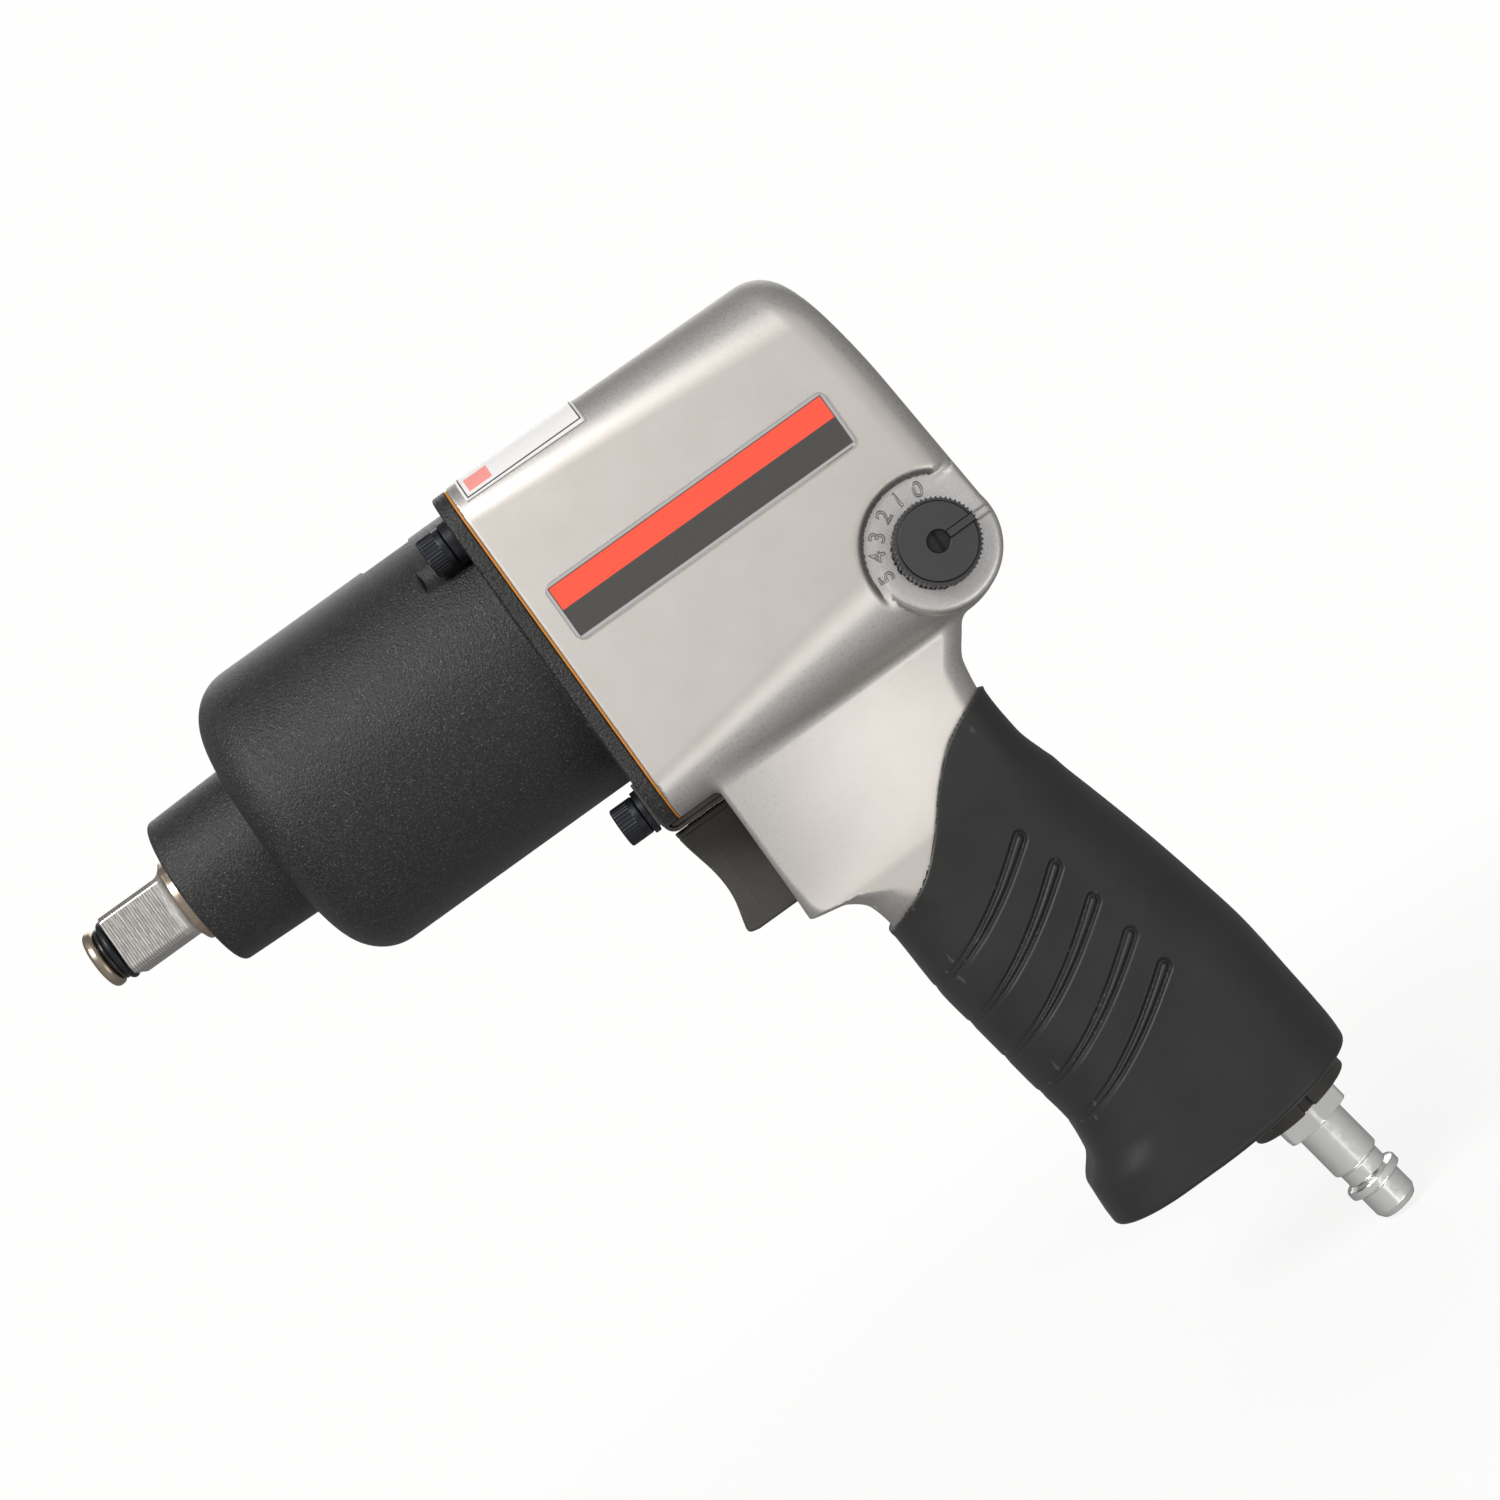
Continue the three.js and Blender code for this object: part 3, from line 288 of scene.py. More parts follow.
def surface(field, low, high, step):
    """Vertices and quads over the zero level of a field: one vertex for each cell it passes through."""
    values, origin = sampled(field, np.array(low, float), np.array(high, float), step)
    inside = values < 0
    corners = [tuple(slice(c, c - 1 or None) for c in corner) for corner in CORNER]
    filled = sum(inside[c].astype(np.int8) for c in corners)
    cell = np.argwhere((filled > 0) & (filled < 8))
    number = np.full(filled.shape, -1)
    number[tuple(cell.T)] = np.arange(len(cell))
    at_corner = np.stack([values[tuple((cell + c).T)] for c in CORNER], 1)
    total = np.zeros((len(cell), 3))
    hits = np.zeros((len(cell), 1))
    for a, b in EDGES:
        va, vb = at_corner[:, a], at_corner[:, b]
        crossed = (va < 0) != (vb < 0)
        t = np.where(crossed, va / np.where(crossed, va - vb, 1), 0)[:, None]
        total += np.where(crossed[:, None], CORNER[a] + t * (CORNER[b] - CORNER[a]), 0)
        hits += crossed[:, None]
    points = origin + (cell + total / hits) * step
    quads = []
    for axis in range(3):
        u, v = (axis + 1) % 3, (axis + 2) % 3
        ahead = tuple(slice(1, None) if i == axis else slice(None) for i in range(3))
        behind = tuple(slice(None, -1) if i == axis else slice(None) for i in range(3))
        for first in (True, False):
            edge = np.argwhere((inside[behind] == first) & (inside[ahead] != first))
            steps = [(0, 0), (1, 0), (1, 1), (0, 1)] if first else [(0, 0), (0, 1), (1, 1), (1, 0)]
            ring = []
            for du, dv in steps:
                place = edge.copy()
                place[:, u] -= 1 - du
                place[:, v] -= 1 - dv
                ring.append(number[tuple(place.T)])
            quads.append(np.stack(ring, 1))
    for _ in range(2):
        slope = gradient(field, points)
        size = np.maximum((slope ** 2).sum(1, keepdims=True), 0.2)
        move = -field(tuple(points.T))[:, None] * slope / size
        points = points + np.clip(move, -step / 2, step / 2)
    return points, np.concatenate(quads)


def finished(name, points, faces, look, body, replaced=(), smooth=True):
    """A piece of the tool from points in millimetres."""
    mesh = bpy.data.meshes.new(name)
    corners = faces.tolist() if isinstance(faces, np.ndarray) else faces
    mesh.from_pydata(((np.asarray(points, float) + SHIFT) * MM).tolist(), [], corners)
    mesh.validate()
    mesh.update()
    mesh.shade_smooth() if smooth else mesh.shade_flat()
    piece = bpy.data.objects.new(name, mesh)
    bpy.context.scene.collection.objects.link(piece)
    mesh.materials.append(look)
    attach(piece, body)
    if replaced:
        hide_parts(*replaced)
    return piece


def applied(piece, modifier):
    """Bakes a modifier into the piece's mesh."""
    evaluated = piece.evaluated_get(bpy.context.evaluated_depsgraph_get())
    mesh = bpy.data.meshes.new_from_object(evaluated)
    piece.modifiers.remove(modifier)
    piece.data = mesh


def mesh_of(name, field, low, high, step, look, body, replaced=()):
    """A piece of the tool over a field, inside the box from low to high."""
    margin = 1.5
    points, quads = surface(field, np.array(low) - margin, np.array(high) + margin, step * FINE)
    piece = finished(name, points, quads, look, body, replaced)
    triangles = 2 * len(quads)
    if triangles > MOST_FACES:
        modifier = piece.modifiers.new("thin", "DECIMATE")
        modifier.ratio = MOST_FACES / triangles
        applied(piece, modifier)
    mesh = piece.data
    co = np.zeros(3 * len(mesh.vertices), np.float32)
    mesh.vertices.foreach_get("co", co)
    normals = gradient(field, co.reshape(-1, 3).astype(float) / MM - SHIFT)
    normals /= np.maximum(np.linalg.norm(normals, axis=1, keepdims=True), 1e-9)
    mesh.normals_split_custom_set_from_vertices(normals.tolist())
    return piece


def rebuilt(node, name, field, step, look, body="housing", box=None):
    """A finer piece in the place of a CAD node."""
    low, high = box or span(node)
    return mesh_of(name, field, low, high, step, look, body, [node])


# ---- Materials


class Nodes:
    """Short calls that make the nodes of one tree and link them."""

    def __init__(self, tree):
        self.tree = tree

    def node(self, kind, inputs=None, out=0, **settings):
        made = self.tree.nodes.new("ShaderNode" + kind)
        for key, value in settings.items():
            setattr(made, key, value)
        for key, value in (inputs or {}).items():
            self.feed(made.inputs[key], value)
        return made.outputs[out]

    def feed(self, socket, value):
        if isinstance(value, bpy.types.NodeSocket):
            self.tree.links.new(value, socket)
        elif hasattr(value, "__len__") and len(value) == 3 and socket.type == "RGBA":
            socket.default_value = (*value, 1)
        else:
            socket.default_value = value


class Look(Nodes):
    """A node material with the textures and mixes that the finishes share; its lengths are millimetres."""

    def __init__(self, name, **inputs):
        self.material = bpy.data.materials.new(name)
        self.material.use_nodes = True
        super().__init__(self.material.node_tree)
        self.shader = self.tree.nodes["Principled BSDF"]
        self.set(**inputs)
        place = self.node("TexCoord", out="Object")
        self.place = self.node("VectorMath", {0: place, 1: (1 / MM,) * 3}, operation="MULTIPLY")

    def set(self, **inputs):
        names = {"color": "Base Color", "roughness": "Roughness", "metallic": "Metallic",
                 "normal": "Normal", "specular": "Specular IOR Level", "sheen": "Sheen Weight"}
        for key, value in inputs.items():
            self.feed(self.shader.inputs[names[key]], value)

    def finish(self, color, grain, smoothest, roughest, normal):
        """The material, its roughness following its grain."""
        self.set(color=color, roughness=self.band(grain, 0.3, 0.7, smoothest, roughest), normal=normal)
        return self.material

    def math(self, operation, a, b=0.0):
        return self.node("Math", {0: a, 1: b}, operation=operation)

    def times(self, a, b):
        return self.math("MULTIPLY", a, b)

    def minus(self, a, b):
        return self.math("SUBTRACT", a, b)

    def apart(self, a, b):
        return self.math("ABSOLUTE", self.minus(a, b))

    def noise(self, size, detail=3.0, stretch=(1, 1, 1), rough=0.55):
        """Cloudy noise from 0 to 1 whose features are about size millimetres across."""
        vector = self.node("VectorMath", {0: self.place, 1: stretch}, operation="MULTIPLY")
        inputs = {"Vector": vector, "Scale": 1 / size, "Detail": detail, "Roughness": rough}
        return self.node("TexNoise", inputs)

    def cells(self, size):
        return self.node("TexVoronoi", {"Vector": self.place, "Scale": 1 / size})

    def band(self, value, low, high, to_low=0.0, to_high=1.0):
        """Value eased from low..high to to_low..to_high."""
        return self.node("MapRange", {"Value": value, "From Min": low, "From Max": high, "To Min": to_low,
                                      "To Max": to_high}, interpolation_type="SMOOTHSTEP")

    def mix(self, share, a, b):
        """Colour a where the share is 0, b where it is 1."""
        return self.node("Mix", {0: share, 6: a, 7: b}, out=2, data_type="RGBA")

    def toned(self, color, where, share, tone):
        """A colour that turns to the given share of a tone where the mask is 1."""
        return self.mix(self.times(where, share), color, tone)

    def axis(self, letter, source=None):
        vector = self.place if source is None else source
        return self.node("SeparateXYZ", {0: vector}, out="XYZ".index(letter))

    def facing(self, letter):
        """How far the surface faces along an axis of the tool, from -1 to 1, at rest."""
        return self.axis(letter, self.node("TexCoord", out="Normal"))

    def edge(self, low=0.5, high=0.6):
        """1 on convex edges, 0 elsewhere."""
        return self.band(self.node("NewGeometry", out="Pointiness"), low, high)

    def bump(self, height, strength, distance=0.1, normal=None):
        inputs = {"Height": height, "Strength": strength, "Distance": distance * MM}
        if normal is not None:
            inputs["Normal"] = normal
        return self.node("Bump", inputs)


def cast_aluminium():
    """Polished on the flats, where its colour is painted lighter (painted light); speckled where it curves
    away, its colour painted darker there (painted shade); painted glints where it is milled, a painted
    highlight on its convex edges and painted shade in its creases.
    """
    look = Look("cast_aluminium", metallic=1.0)
    flat = look.band(look.math("ABSOLUTE", look.facing("Y")), 0.86, 0.985)
    patches = look.noise(9, 4, rough=0.6)
    grain = look.noise(0.45, 3, rough=0.7)
    specks = look.band(look.cells(1.1), 0.12, 0.3)
    # The flats' colour is painted lighter as painted light, and the curving surfaces' colour painted darker
    # as painted shade; the noise and dark specks in them are real.
    flat_lit_tone = look.mix(patches, (0.70, 0.655, 0.61), (0.80, 0.757, 0.715))
    speckled_shade_tone = look.mix(grain, (0.40, 0.385, 0.37), (0.66, 0.64, 0.62))
    speckled_shade_tone = look.toned(speckled_shade_tone, look.minus(1.0, specks), 0.35, (0.3, 0.285, 0.27))
    color = look.mix(flat, speckled_shade_tone, flat_lit_tone)
    # Painted highlight on convex edges, then painted shade in concave creases.
    color = look.toned(color, look.edge(0.52, 0.62), 0.6, (0.93, 0.92, 0.9))
    color = look.toned(color, look.edge(0.48, 0.4), 0.5, (0.3, 0.27, 0.24))
    rough = look.math("ADD", look.band(flat, 0, 1, 0.47, 0.36), look.times(grain, 0.1))
    strokes = look.noise(0.5, 3, (0.06, 1, 1))
    depth = look.apart(look.axis("Y"), REG_FACE)
    milled = look.times(look.band(depth, 0.25, 0.1), look.band(look.facing("Y"), -0.9, -0.98))
    # Painted glints on the milled flat round the regulator: a fine noise swings its colour from grey to near
    # white, and also gives its bump.
    glint_noise = look.noise(0.3, 3, rough=0.8)
    color = look.mix(milled, color, look.mix(glint_noise, (0.45, 0.44, 0.43), (0.95, 0.93, 0.91)))
    fine = look.bump(look.mix(milled, grain, glint_noise), look.band(milled, 0, 1, 0.22, 0.5), 0.06)
    look.set(color=color, roughness=rough, normal=look.bump(strokes, 0.1, 0.05, fine))
    return look.material


def wrinkle_black():
    """Fine wrinkle enamel with painted glints in its grain, worn to bronze on its sharpest edges."""
    look = Look("wrinkle_black", metallic=0.0, specular=0.45)
    grain = look.noise(0.34, 4, rough=0.65)
    # Painted glints: light specks mixed into the enamel's colour.
    glint_noise = look.band(look.noise(0.32, 1), 0.62, 0.74)
    color = look.mix(look.band(grain, 0.42, 0.62), (0.004, 0.0038, 0.0037), (0.028, 0.0263, 0.0253))
    color = look.toned(color, glint_noise, 0.5, (0.22, 0.205, 0.195))
    worn = look.times(look.edge(0.56, 0.68), look.band(look.noise(2.2, 3), 0.4, 0.65))
    color = look.toned(color, worn, 0.55, (0.24, 0.17, 0.11))
    height = look.math("ADD", grain, look.times(look.cells(0.5), 0.6))
    return look.finish(color, grain, 0.34, 0.5, look.bump(height, 0.9, 0.16))


def moulded_rubber():
    """Matt rubber with a fine moulded grain, a painted highlight on its raised edges and painted shade in
    its creases and grooves.
    """
    look = Look("moulded_rubber", specular=0.34, sheen=0.03)
    grain = look.noise(0.35, 4, rough=0.7)
    cloud = look.noise(12, 3)
    color = look.mix(cloud, (0.014, 0.0135, 0.013), (0.026, 0.025, 0.0242))
    # Painted highlight on convex edges, then painted shade in concave creases and grooves.
    color = look.toned(color, look.edge(0.53, 0.62), 0.35, (0.12, 0.118, 0.115))
    color = look.toned(color, look.edge(0.47, 0.4), 0.8, (0.006, 0.006, 0.006))
    return look.finish(color, cloud, 0.4, 0.5, look.bump(grain, 0.25, 0.08))


def moulded_plastic():
    """Glass-filled nylon, nearly matt, with a painted highlight on its edges."""
    look = Look("moulded_plastic", specular=0.35)
    grain = look.noise(0.3, 3, rough=0.7)
    color = look.mix(look.noise(5, 3), (0.042, 0.039, 0.036), (0.066, 0.061, 0.057))
    # Painted highlight on convex edges.
    color = look.toned(color, look.edge(0.53, 0.64), 0.4, (0.13, 0.125, 0.12))
    return look.finish(color, grain, 0.4, 0.52, look.bump(grain, 0.22, 0.06))


def ground_steel():
    """Hardened steel, brownish where it is turned, with the even lines of a grinding wheel on the square."""
    look = Look("ground_steel", metallic=1.0)
    x = look.minus(look.axis("X"), PLANE_X)
    grain = look.noise(0.5, 3, (1, 0.15, 0.15), 0.7)
    turns = look.math("ADD", look.times(x, 2 * math.pi / WHEEL_MARKS), look.times(grain, 2))
    wave = look.math("SINE", turns)
    on_square = look.times(look.band(x, -101.9, -101.6), look.band(x, -89.2, -89.6))
    lines = look.times(look.band(wave, -0.6, 0.9), on_square)
    turned = look.mix(look.noise(2.5, 3, rough=0.6), (0.3, 0.235, 0.175), (0.5, 0.42, 0.34))
    ground = look.mix(grain, (0.52, 0.5, 0.47), (0.7, 0.68, 0.65))
    on_flats = look.times(look.band(x, -102.1, -101.7), look.band(x, -86.8, -87.4))
    color = look.mix(on_flats, turned, ground)
    color = look.toned(color, lines, 0.7, (0.26, 0.24, 0.22))
    # Painted shade in concave creases, such as the shadow line between the square and the collar.
    color = look.toned(color, look.edge(0.48, 0.42), 0.6, (0.1, 0.085, 0.07))
    return look.finish(color, grain, 0.2, 0.34, look.bump(lines, 0.35, 0.05))


def dark_steel(name="dark_steel", tint=(0.2, 0.195, 0.19), rough=0.34):
    """Oiled hard steel with blotches of heat treatment."""
    look = Look(name, metallic=1.0)
    blotch = look.noise(3, 4, rough=0.65)
    grain = look.noise(0.25, 2)
    color = look.mix(blotch, tuple(0.6 * c for c in tint), tuple(1.5 * c for c in tint))
    return look.finish(color, grain, rough, rough + 0.15, look.bump(grain, 0.15, 0.05))


def black_oxide():
    """Black oxide on steel, rubbed to bare metal on the sharpest edges."""
    look = Look("black_oxide", metallic=0.75)
    grain = look.noise(0.2, 3)
    rubbed = look.times(look.edge(0.56, 0.72), look.band(look.noise(0.9, 2), 0.4, 0.6))
    color = look.mix(look.noise(3, 3), (0.016, 0.017, 0.02), (0.032, 0.034, 0.04))
    color = look.toned(color, rubbed, 0.55, (0.25, 0.2, 0.14))
    return look.finish(color, grain, 0.34, 0.48, look.bump(grain, 0.2, 0.04))


def knob_black():
    """Black oxide over a fine knurl, with a greyer turned face."""
    look = Look("knob_black", metallic=0.6)
    grain = look.noise(0.25, 3, rough=0.7)
    face = look.band(look.facing("Y"), -0.9, -0.98)
    turned = look.mix(grain, (0.05, 0.05, 0.053), (0.085, 0.085, 0.09))
    color = look.mix(face, (0.012, 0.012, 0.012), turned)
    return look.finish(color, grain, 0.36, 0.5, look.bump(grain, 0.25, 0.04))


def bright_zinc():
    """Bright zinc plate with a slightly clouded shine."""
    look = Look("bright_zinc", metallic=1.0)
    cloud = look.noise(1.6, 4, rough=0.65)
    grain = look.noise(0.2, 3, rough=0.7)
    color = look.mix(cloud, (0.88, 0.875, 0.865), (0.98, 0.975, 0.965))
    # Painted shade in concave creases.
    color = look.toned(color, look.edge(0.47, 0.4), 0.7, (0.14, 0.13, 0.12))
    return look.finish(color, cloud, 0.12, 0.26, look.bump(grain, 0.25, 0.03))


def plain(name, dark, light, rough, metallic=0.0, size=0.6, strength=0.15):
    """A finish of two near tones over a fine grain, for the small and hidden pieces."""
    look = Look(name, metallic=metallic)
    grain = look.noise(size, 3, rough=0.65)
    color = look.mix(grain, dark, light)
    return look.finish(color, grain, rough, rough + 0.12, look.bump(grain, strength, 0.05))


def printed_plate(centre, lean, length, height):
    """Silver border round a red band over a dark grey one, printed on aluminium."""
    look = Look("printed_plate", specular=0.2)
    away = look.node("VectorMath", {0: look.place, 1: tuple(centre + SHIFT)}, operation="SUBTRACT")
    inputs = {"Vector": away, "Axis": (0, 1, 0), "Angle": -lean}
    turned = look.node("VectorRotate", inputs, rotation_type="AXIS_ANGLE")
    x, z = look.axis("X", turned), look.axis("Z", turned)
    insets = [look.minus(side / 2 - PLATE_BORDER, look.math("ABSOLUTE", v))
              for side, v in ((length, x), (height, z))]
    depth = look.math("MINIMUM", *insets)
    field = look.band(depth, -0.06, 0.06)
    line = look.minus(1.0, look.band(look.apart(depth, -0.05), 0.03, 0.15))
    grain = look.noise(0.3, 3, rough=0.8)
    red = look.mix(grain, (0.86, 0.085, 0.05), (0.96, 0.12, 0.07))
    grey = look.mix(grain, (0.05, 0.047, 0.044), (0.1, 0.095, 0.09))
    print_color = look.mix(look.band(z, 0.4, 0.52), grey, red)
    color = look.mix(field, (0.8, 0.785, 0.77), print_color)
    color = look.toned(color, line, 0.85, (0.03, 0.028, 0.027))
    look.set(color=color, metallic=look.minus(1.0, field), roughness=look.band(field, 0, 1, 0.25, 0.42),
             normal=look.bump(grain, 0.08, 0.03))
    return look.material


def printed_label():
    """White sticker with a thin border and a small red panel at its lower front corner."""
    look = Look("printed_label", specular=0.3, roughness=0.4)
    x, z = look.minus(look.axis("X"), PLANE_X), look.axis("Z")
    across = look.band(look.apart(x, label_low[0] + 4), 2.6, 2.4)
    panel = look.times(across, look.band(look.apart(z, 29), 1.4, 1.3))
    paper = look.mix(look.noise(2, 3), (0.74, 0.73, 0.72), (0.8, 0.79, 0.78))
    middle = (label_low[0] + label_high[0]) / 2
    reach = (label_high[0] - label_low[0]) / 2
    inset_x = look.minus(reach, look.apart(x, middle))
    inset_z = look.minus(z, label_low[2])
    inset = look.minus(look.math("MINIMUM", inset_x, inset_z), 0.6)
    border = look.band(look.math("ABSOLUTE", inset), 0.2, 0.1)
    paper = look.mix(border, paper, (0.08, 0.08, 0.08))
    look.set(color=look.mix(panel, paper, (0.82, 0.3, 0.27)))
    return look.material


# ---- Motor housing, grip, plate and label


def rear_at(z):
    """Where the rear face stands at a height: it leans forward, and above the drive axis it also bows."""
    return HOUSING_BACK - REAR_LEAN * z - REAR_BOW * np.maximum(z, 0) ** 2


def barrel_field(p):
    """Rounded box whose corners grow to the rear, with a round heel under the regulator."""
    x, y, z = p
    rear = rear_at(z)
    share = unit((x - JOINT) / (rear - JOINT))
    radius = CORNER_RADIUS + np.where(z > 0, 6, 13) * share
    sides = [slab(y, -BARREL_HALF, BARREL_HALF), slab(z, BARREL_LOW, BARREL_TOP - 0.2 * share)]
    body = meet(rounded(sides, radius), (x - rear) * 0.99, REAR_FILLET)
    heel_z = BARREL_LOW + HEEL
    heel_x = rear_at(heel_z) - HEEL
    body = np.maximum(body, np.hypot(np.maximum(x - heel_x, 0), np.maximum(heel_z - z, 0)) - HEEL)
    return meet(body, JOINT - x, 0.4)


def handle_field(p, inset=0.0):
    """Handle section at each height; its sides widen in a flat taper up to the barrel."""
    x, y, z = p
    front, rear, half = smooth_table(HANDLE, z)
    r_front, r_rear = smooth_table(CORNERS, z)
    rise = unit((z + 75) / 38)
    half = half + (16 - 0.22 * (x - 12)) * rise ** 2 / (rise + 0.12) * 1.12
    middle = (front + rear) / 2
    reach = (rear - front) / 2 - inset
    radius = np.where(x > middle, r_rear, r_front) - inset
    radius = np.maximum(np.minimum(radius, half - inset - 0.5), 0.5)
    return rounded([np.abs(x - middle) - reach, np.abs(y) - half + inset], radius)


def above_rubber(p):
    """Negative above the rubber's upper edge."""
    edge = smooth_table(RUBBER_EDGE, p[0])[0]
    return (edge - p[2]) * EDGE_SLOPE


def on_foot_axis(p):
    """Distance up the leaning inlet axis from the foot, and distance from it."""
    x, y, z = p
    up = -FOOT_DOWN
    dx, dz = x - FOOT[0], z - FOOT[2]
    along = dx * up[0] + dz * up[2]
    side = dx * up[2] - dz * up[0]
    return along, side, np.hypot(side, y)


def housing_field(p):
    """Barrel, regulator boss and handle in one casting, with its bores, pocket and exhaust slot."""
    x, y, z = p
    body = join(barrel_field(p), rod(p, 1, REG, BOSS, -60, -20, 0.35))
    to_rear = np.maximum(REG_X - x, x + 0.3 - rear_at(z))
    ledge = rounded([slab(y, -60, -20), slab(z, REG_Z, REG_Z + LEDGE), to_rear], 0.3)
    body = join(body, ledge)
    pocket = join(rod(p, 1, REG, BOSS + 0.4, -60, REG_FACE, 0),
                  block(p, (REG_X, -60, REG_Z), (100, REG_FACE, REG_Z + LEDGE), 0))
    body = cut(body, pocket, 2.0)
    body = cut(body, pocket, 0.3)
    neck = meet(handle_field(p, 1.0), np.maximum(z + 25, -z - 90), 0.5)
    neck = cut(neck, 0.15 - above_rubber(p))
    body = join(body, neck, 1.6)
    along, _, radial = on_foot_axis(p)
    core = meet(handle_field(p, 3.4), np.maximum(z + 52, HANDLE_END + 1.5 - along), 0.8)
    body = join(body, core)
    body = cut(body, rod(p, 0, (0, 0), MOTOR_BORE[0], -5, MOTOR_BORE[1]), 0.3)
    low, high = trigger_low, trigger_high
    pocket = block(p, (-5, low[1] - 0.35, low[2] - 0.35), (15.4, high[1] + 0.35, high[2] + 1), 0.3)
    body = cut(body, pocket, 0.5)
    body = cut(body, rod(p, 0, ROD_AXIS, 4, 12, 46))
    body = cut(body, np.maximum(radial - 8.3, np.abs(along - 41) - 46))
    body = cut(body, np.maximum(radial - 6.7, np.abs(along - 90) - 17))
    middle = 32 + (-z - 60) * 0.08
    slot = rounded([np.abs(x - middle) - 4.5, np.abs(y) - 7.5, slab(z, -175, -20)], 1.5)
    body = cut(body, slot, 0.4)
    body = cut(body, rod(p, 1, REG, 7.7, -40, 24))
    for place in SCREWS.values():
        body = cut(body, rod(p, 0, place, SCREW_HOLE, -1, 15))
    return body


def slot_lines(x, z):
    """How deep the double lines cut at a point and how high the ridge inside them is, from 0 to 1."""
    depth = np.zeros(np.broadcast(x, z).shape)
    ridge = np.zeros(depth.shape)
    for (x0, z0), (x1, z1) in SLOTS:
        long = math.hypot(x1 - x0, z1 - z0)
        ux, uz = (x1 - x0) / long, (z1 - z0) / long
        t = (x - x0) * ux + (z - z0) * uz
        sag = 1.6 * np.sin(unit(t / long) * math.pi)
        off = (z - z0) * ux - (x - x0) * uz + sag
        width = 0.25 + 0.75 * np.clip(t / long, 0.03, 1) ** 0.7
        loop = np.hypot(np.maximum(t - long + 1.0, 0), off)
        line = np.abs(loop - width)
        along = unit((t + 7) / 6) * (t < long + 2)
        fade = 0.35 + 0.65 * unit(t / 14)
        depth = np.maximum(depth, np.exp(-(line / 0.48) ** 2) * along * fade)
        ridge = np.maximum(ridge, np.exp(-(loop / 0.7) ** 2) * along * fade)
    return depth, ridge


def grip_field(p):
    """Rubber shell round the handle, with a low lip along its upper edge."""
    x, _, z = p
    outer = handle_field(p)
    depth, ridge = slot_lines(x, z)
    outer = outer + 0.75 * depth - 0.12 * ridge
    lip = np.exp(-((above_rubber(p) / EDGE_SLOPE) / 0.7) ** 2)
    outer = outer - 0.25 * lip
    end = meet(grip_low[2] - z, HANDLE_END - on_foot_axis(p)[0], 1.5)
    body = meet(outer, end, 1.6)
    body = meet(body, -above_rubber(p), 0.6)
    return cut(body, handle_field(p, 3.1), 0.4)


def label_strip(name, look):
    """A thin sticker that starts near the top of the near side and wraps over the edge past the crown."""
    rows, columns = 44, 36
    bottom, top = 0.12, 0.26  # its two faces, from the casting
    x0, x1 = label_low[0], label_high[0]
    corner_y, corner_z = CORNER_RADIUS - BARREL_HALF, BARREL_TOP - CORNER_RADIUS
    start = math.asin((label_low[2] - corner_z) / CORNER_RADIUS)
    line = [(corner_y - CORNER_RADIUS * math.cos(turn), corner_z + CORNER_RADIUS * math.sin(turn))
            for turn in np.linspace(start, math.pi / 2, rows // 2)]
    line += [(y, BARREL_TOP) for y in np.linspace(corner_y, label_high[1], rows // 2 + 1)[1:]]
    points = []
    for layer in (bottom, top):
        grid = np.array([[x, y, z] for y, z in line for x in np.linspace(x0, x1, columns)])
        for _ in range(8):
            slope = gradient(barrel_field, grid)
            size = np.maximum((slope ** 2).sum(1, keepdims=True), 0.2)
            distance = barrel_field(tuple(grid.T)) - layer
            grid = grid - 0.8 * distance[:, None] * slope / size
            grid[:, 0] = np.tile(x0 + (x1 - x0) * np.linspace(0, 1, columns), rows)
        points.append(grid)
    count = rows * columns
    faces = []
    for i in range(rows - 1):
        for j in range(columns - 1):
            a = i * columns + j
            faces.append([a, a + columns, a + columns + 1, a + 1])
            faces.append([count + a, count + a + 1, count + a + columns + 1, count + a + columns])
    rims = [(i * columns + j, (i + 1) * columns + j, j == 0)
            for i in range(rows - 1) for j in (0, columns - 1)]
    rims += [(i * columns + j, i * columns + j + 1, i > 0)
             for j in range(columns - 1) for i in (0, rows - 1)]
    for a, b, flip in rims:
        faces.append([a, a + count, b + count, b] if flip else [b, b + count, a + count, a])
    return finished(name, np.concatenate(points), faces, look, "housing", ["top_label"])


# ---- Hammer case, screws, washers and strap


def case_field(p):
    """Nose, drum with a flat relief on its crown, and flange; two screws stand in pockets of the drum."""
    x, y, z = p
    radial = np.hypot(y, z)
    nose_radius = NOSE + 0.6 * unit((x - case_low[0]) / 19)
    nose = rounded([radial - nose_radius, slab(x, case_low[0], -40)], 0.9)
    drum = rounded([radial - DRUM, slab(x, -65, 30)], 10)
    body = join(nose, drum, 0.9)
    crown = rounded([DRUM - 1.2 - z, slab(x, -22, -11)], 0.2)
    body = cut(body, crown, 0.25)
    sides = [slab(y, -case_high[1], case_high[1]), slab(z, case_low[2], case_high[2])]
    flange = rounded([rounded(sides, CORNER_RADIUS), slab(x, FLANGE_FRONT, 5)], 0.6)
    body = join(body, flange, 1.2)
    for place in (SCREWS[1], SCREWS[2]):
        body = cut(body, rod(p, 0, place, 4.7, -12.5, FLANGE_FRONT, 0.3), 0.8)
    body = meet(body, x - CASE_END, 0.2)
    body = cut(body, rod(p, 0, (0, 0), NOSE_BORE, -90, -50), 0.4)
    body = cut(body, rod(p, 0, (0, 0), DRUM_BORE, -60.5, 5))
    for place in SCREWS.values():
        body = cut(body, rod(p, 0, place, SCREW_HOLE, -20, 5, 0.1))
    return body


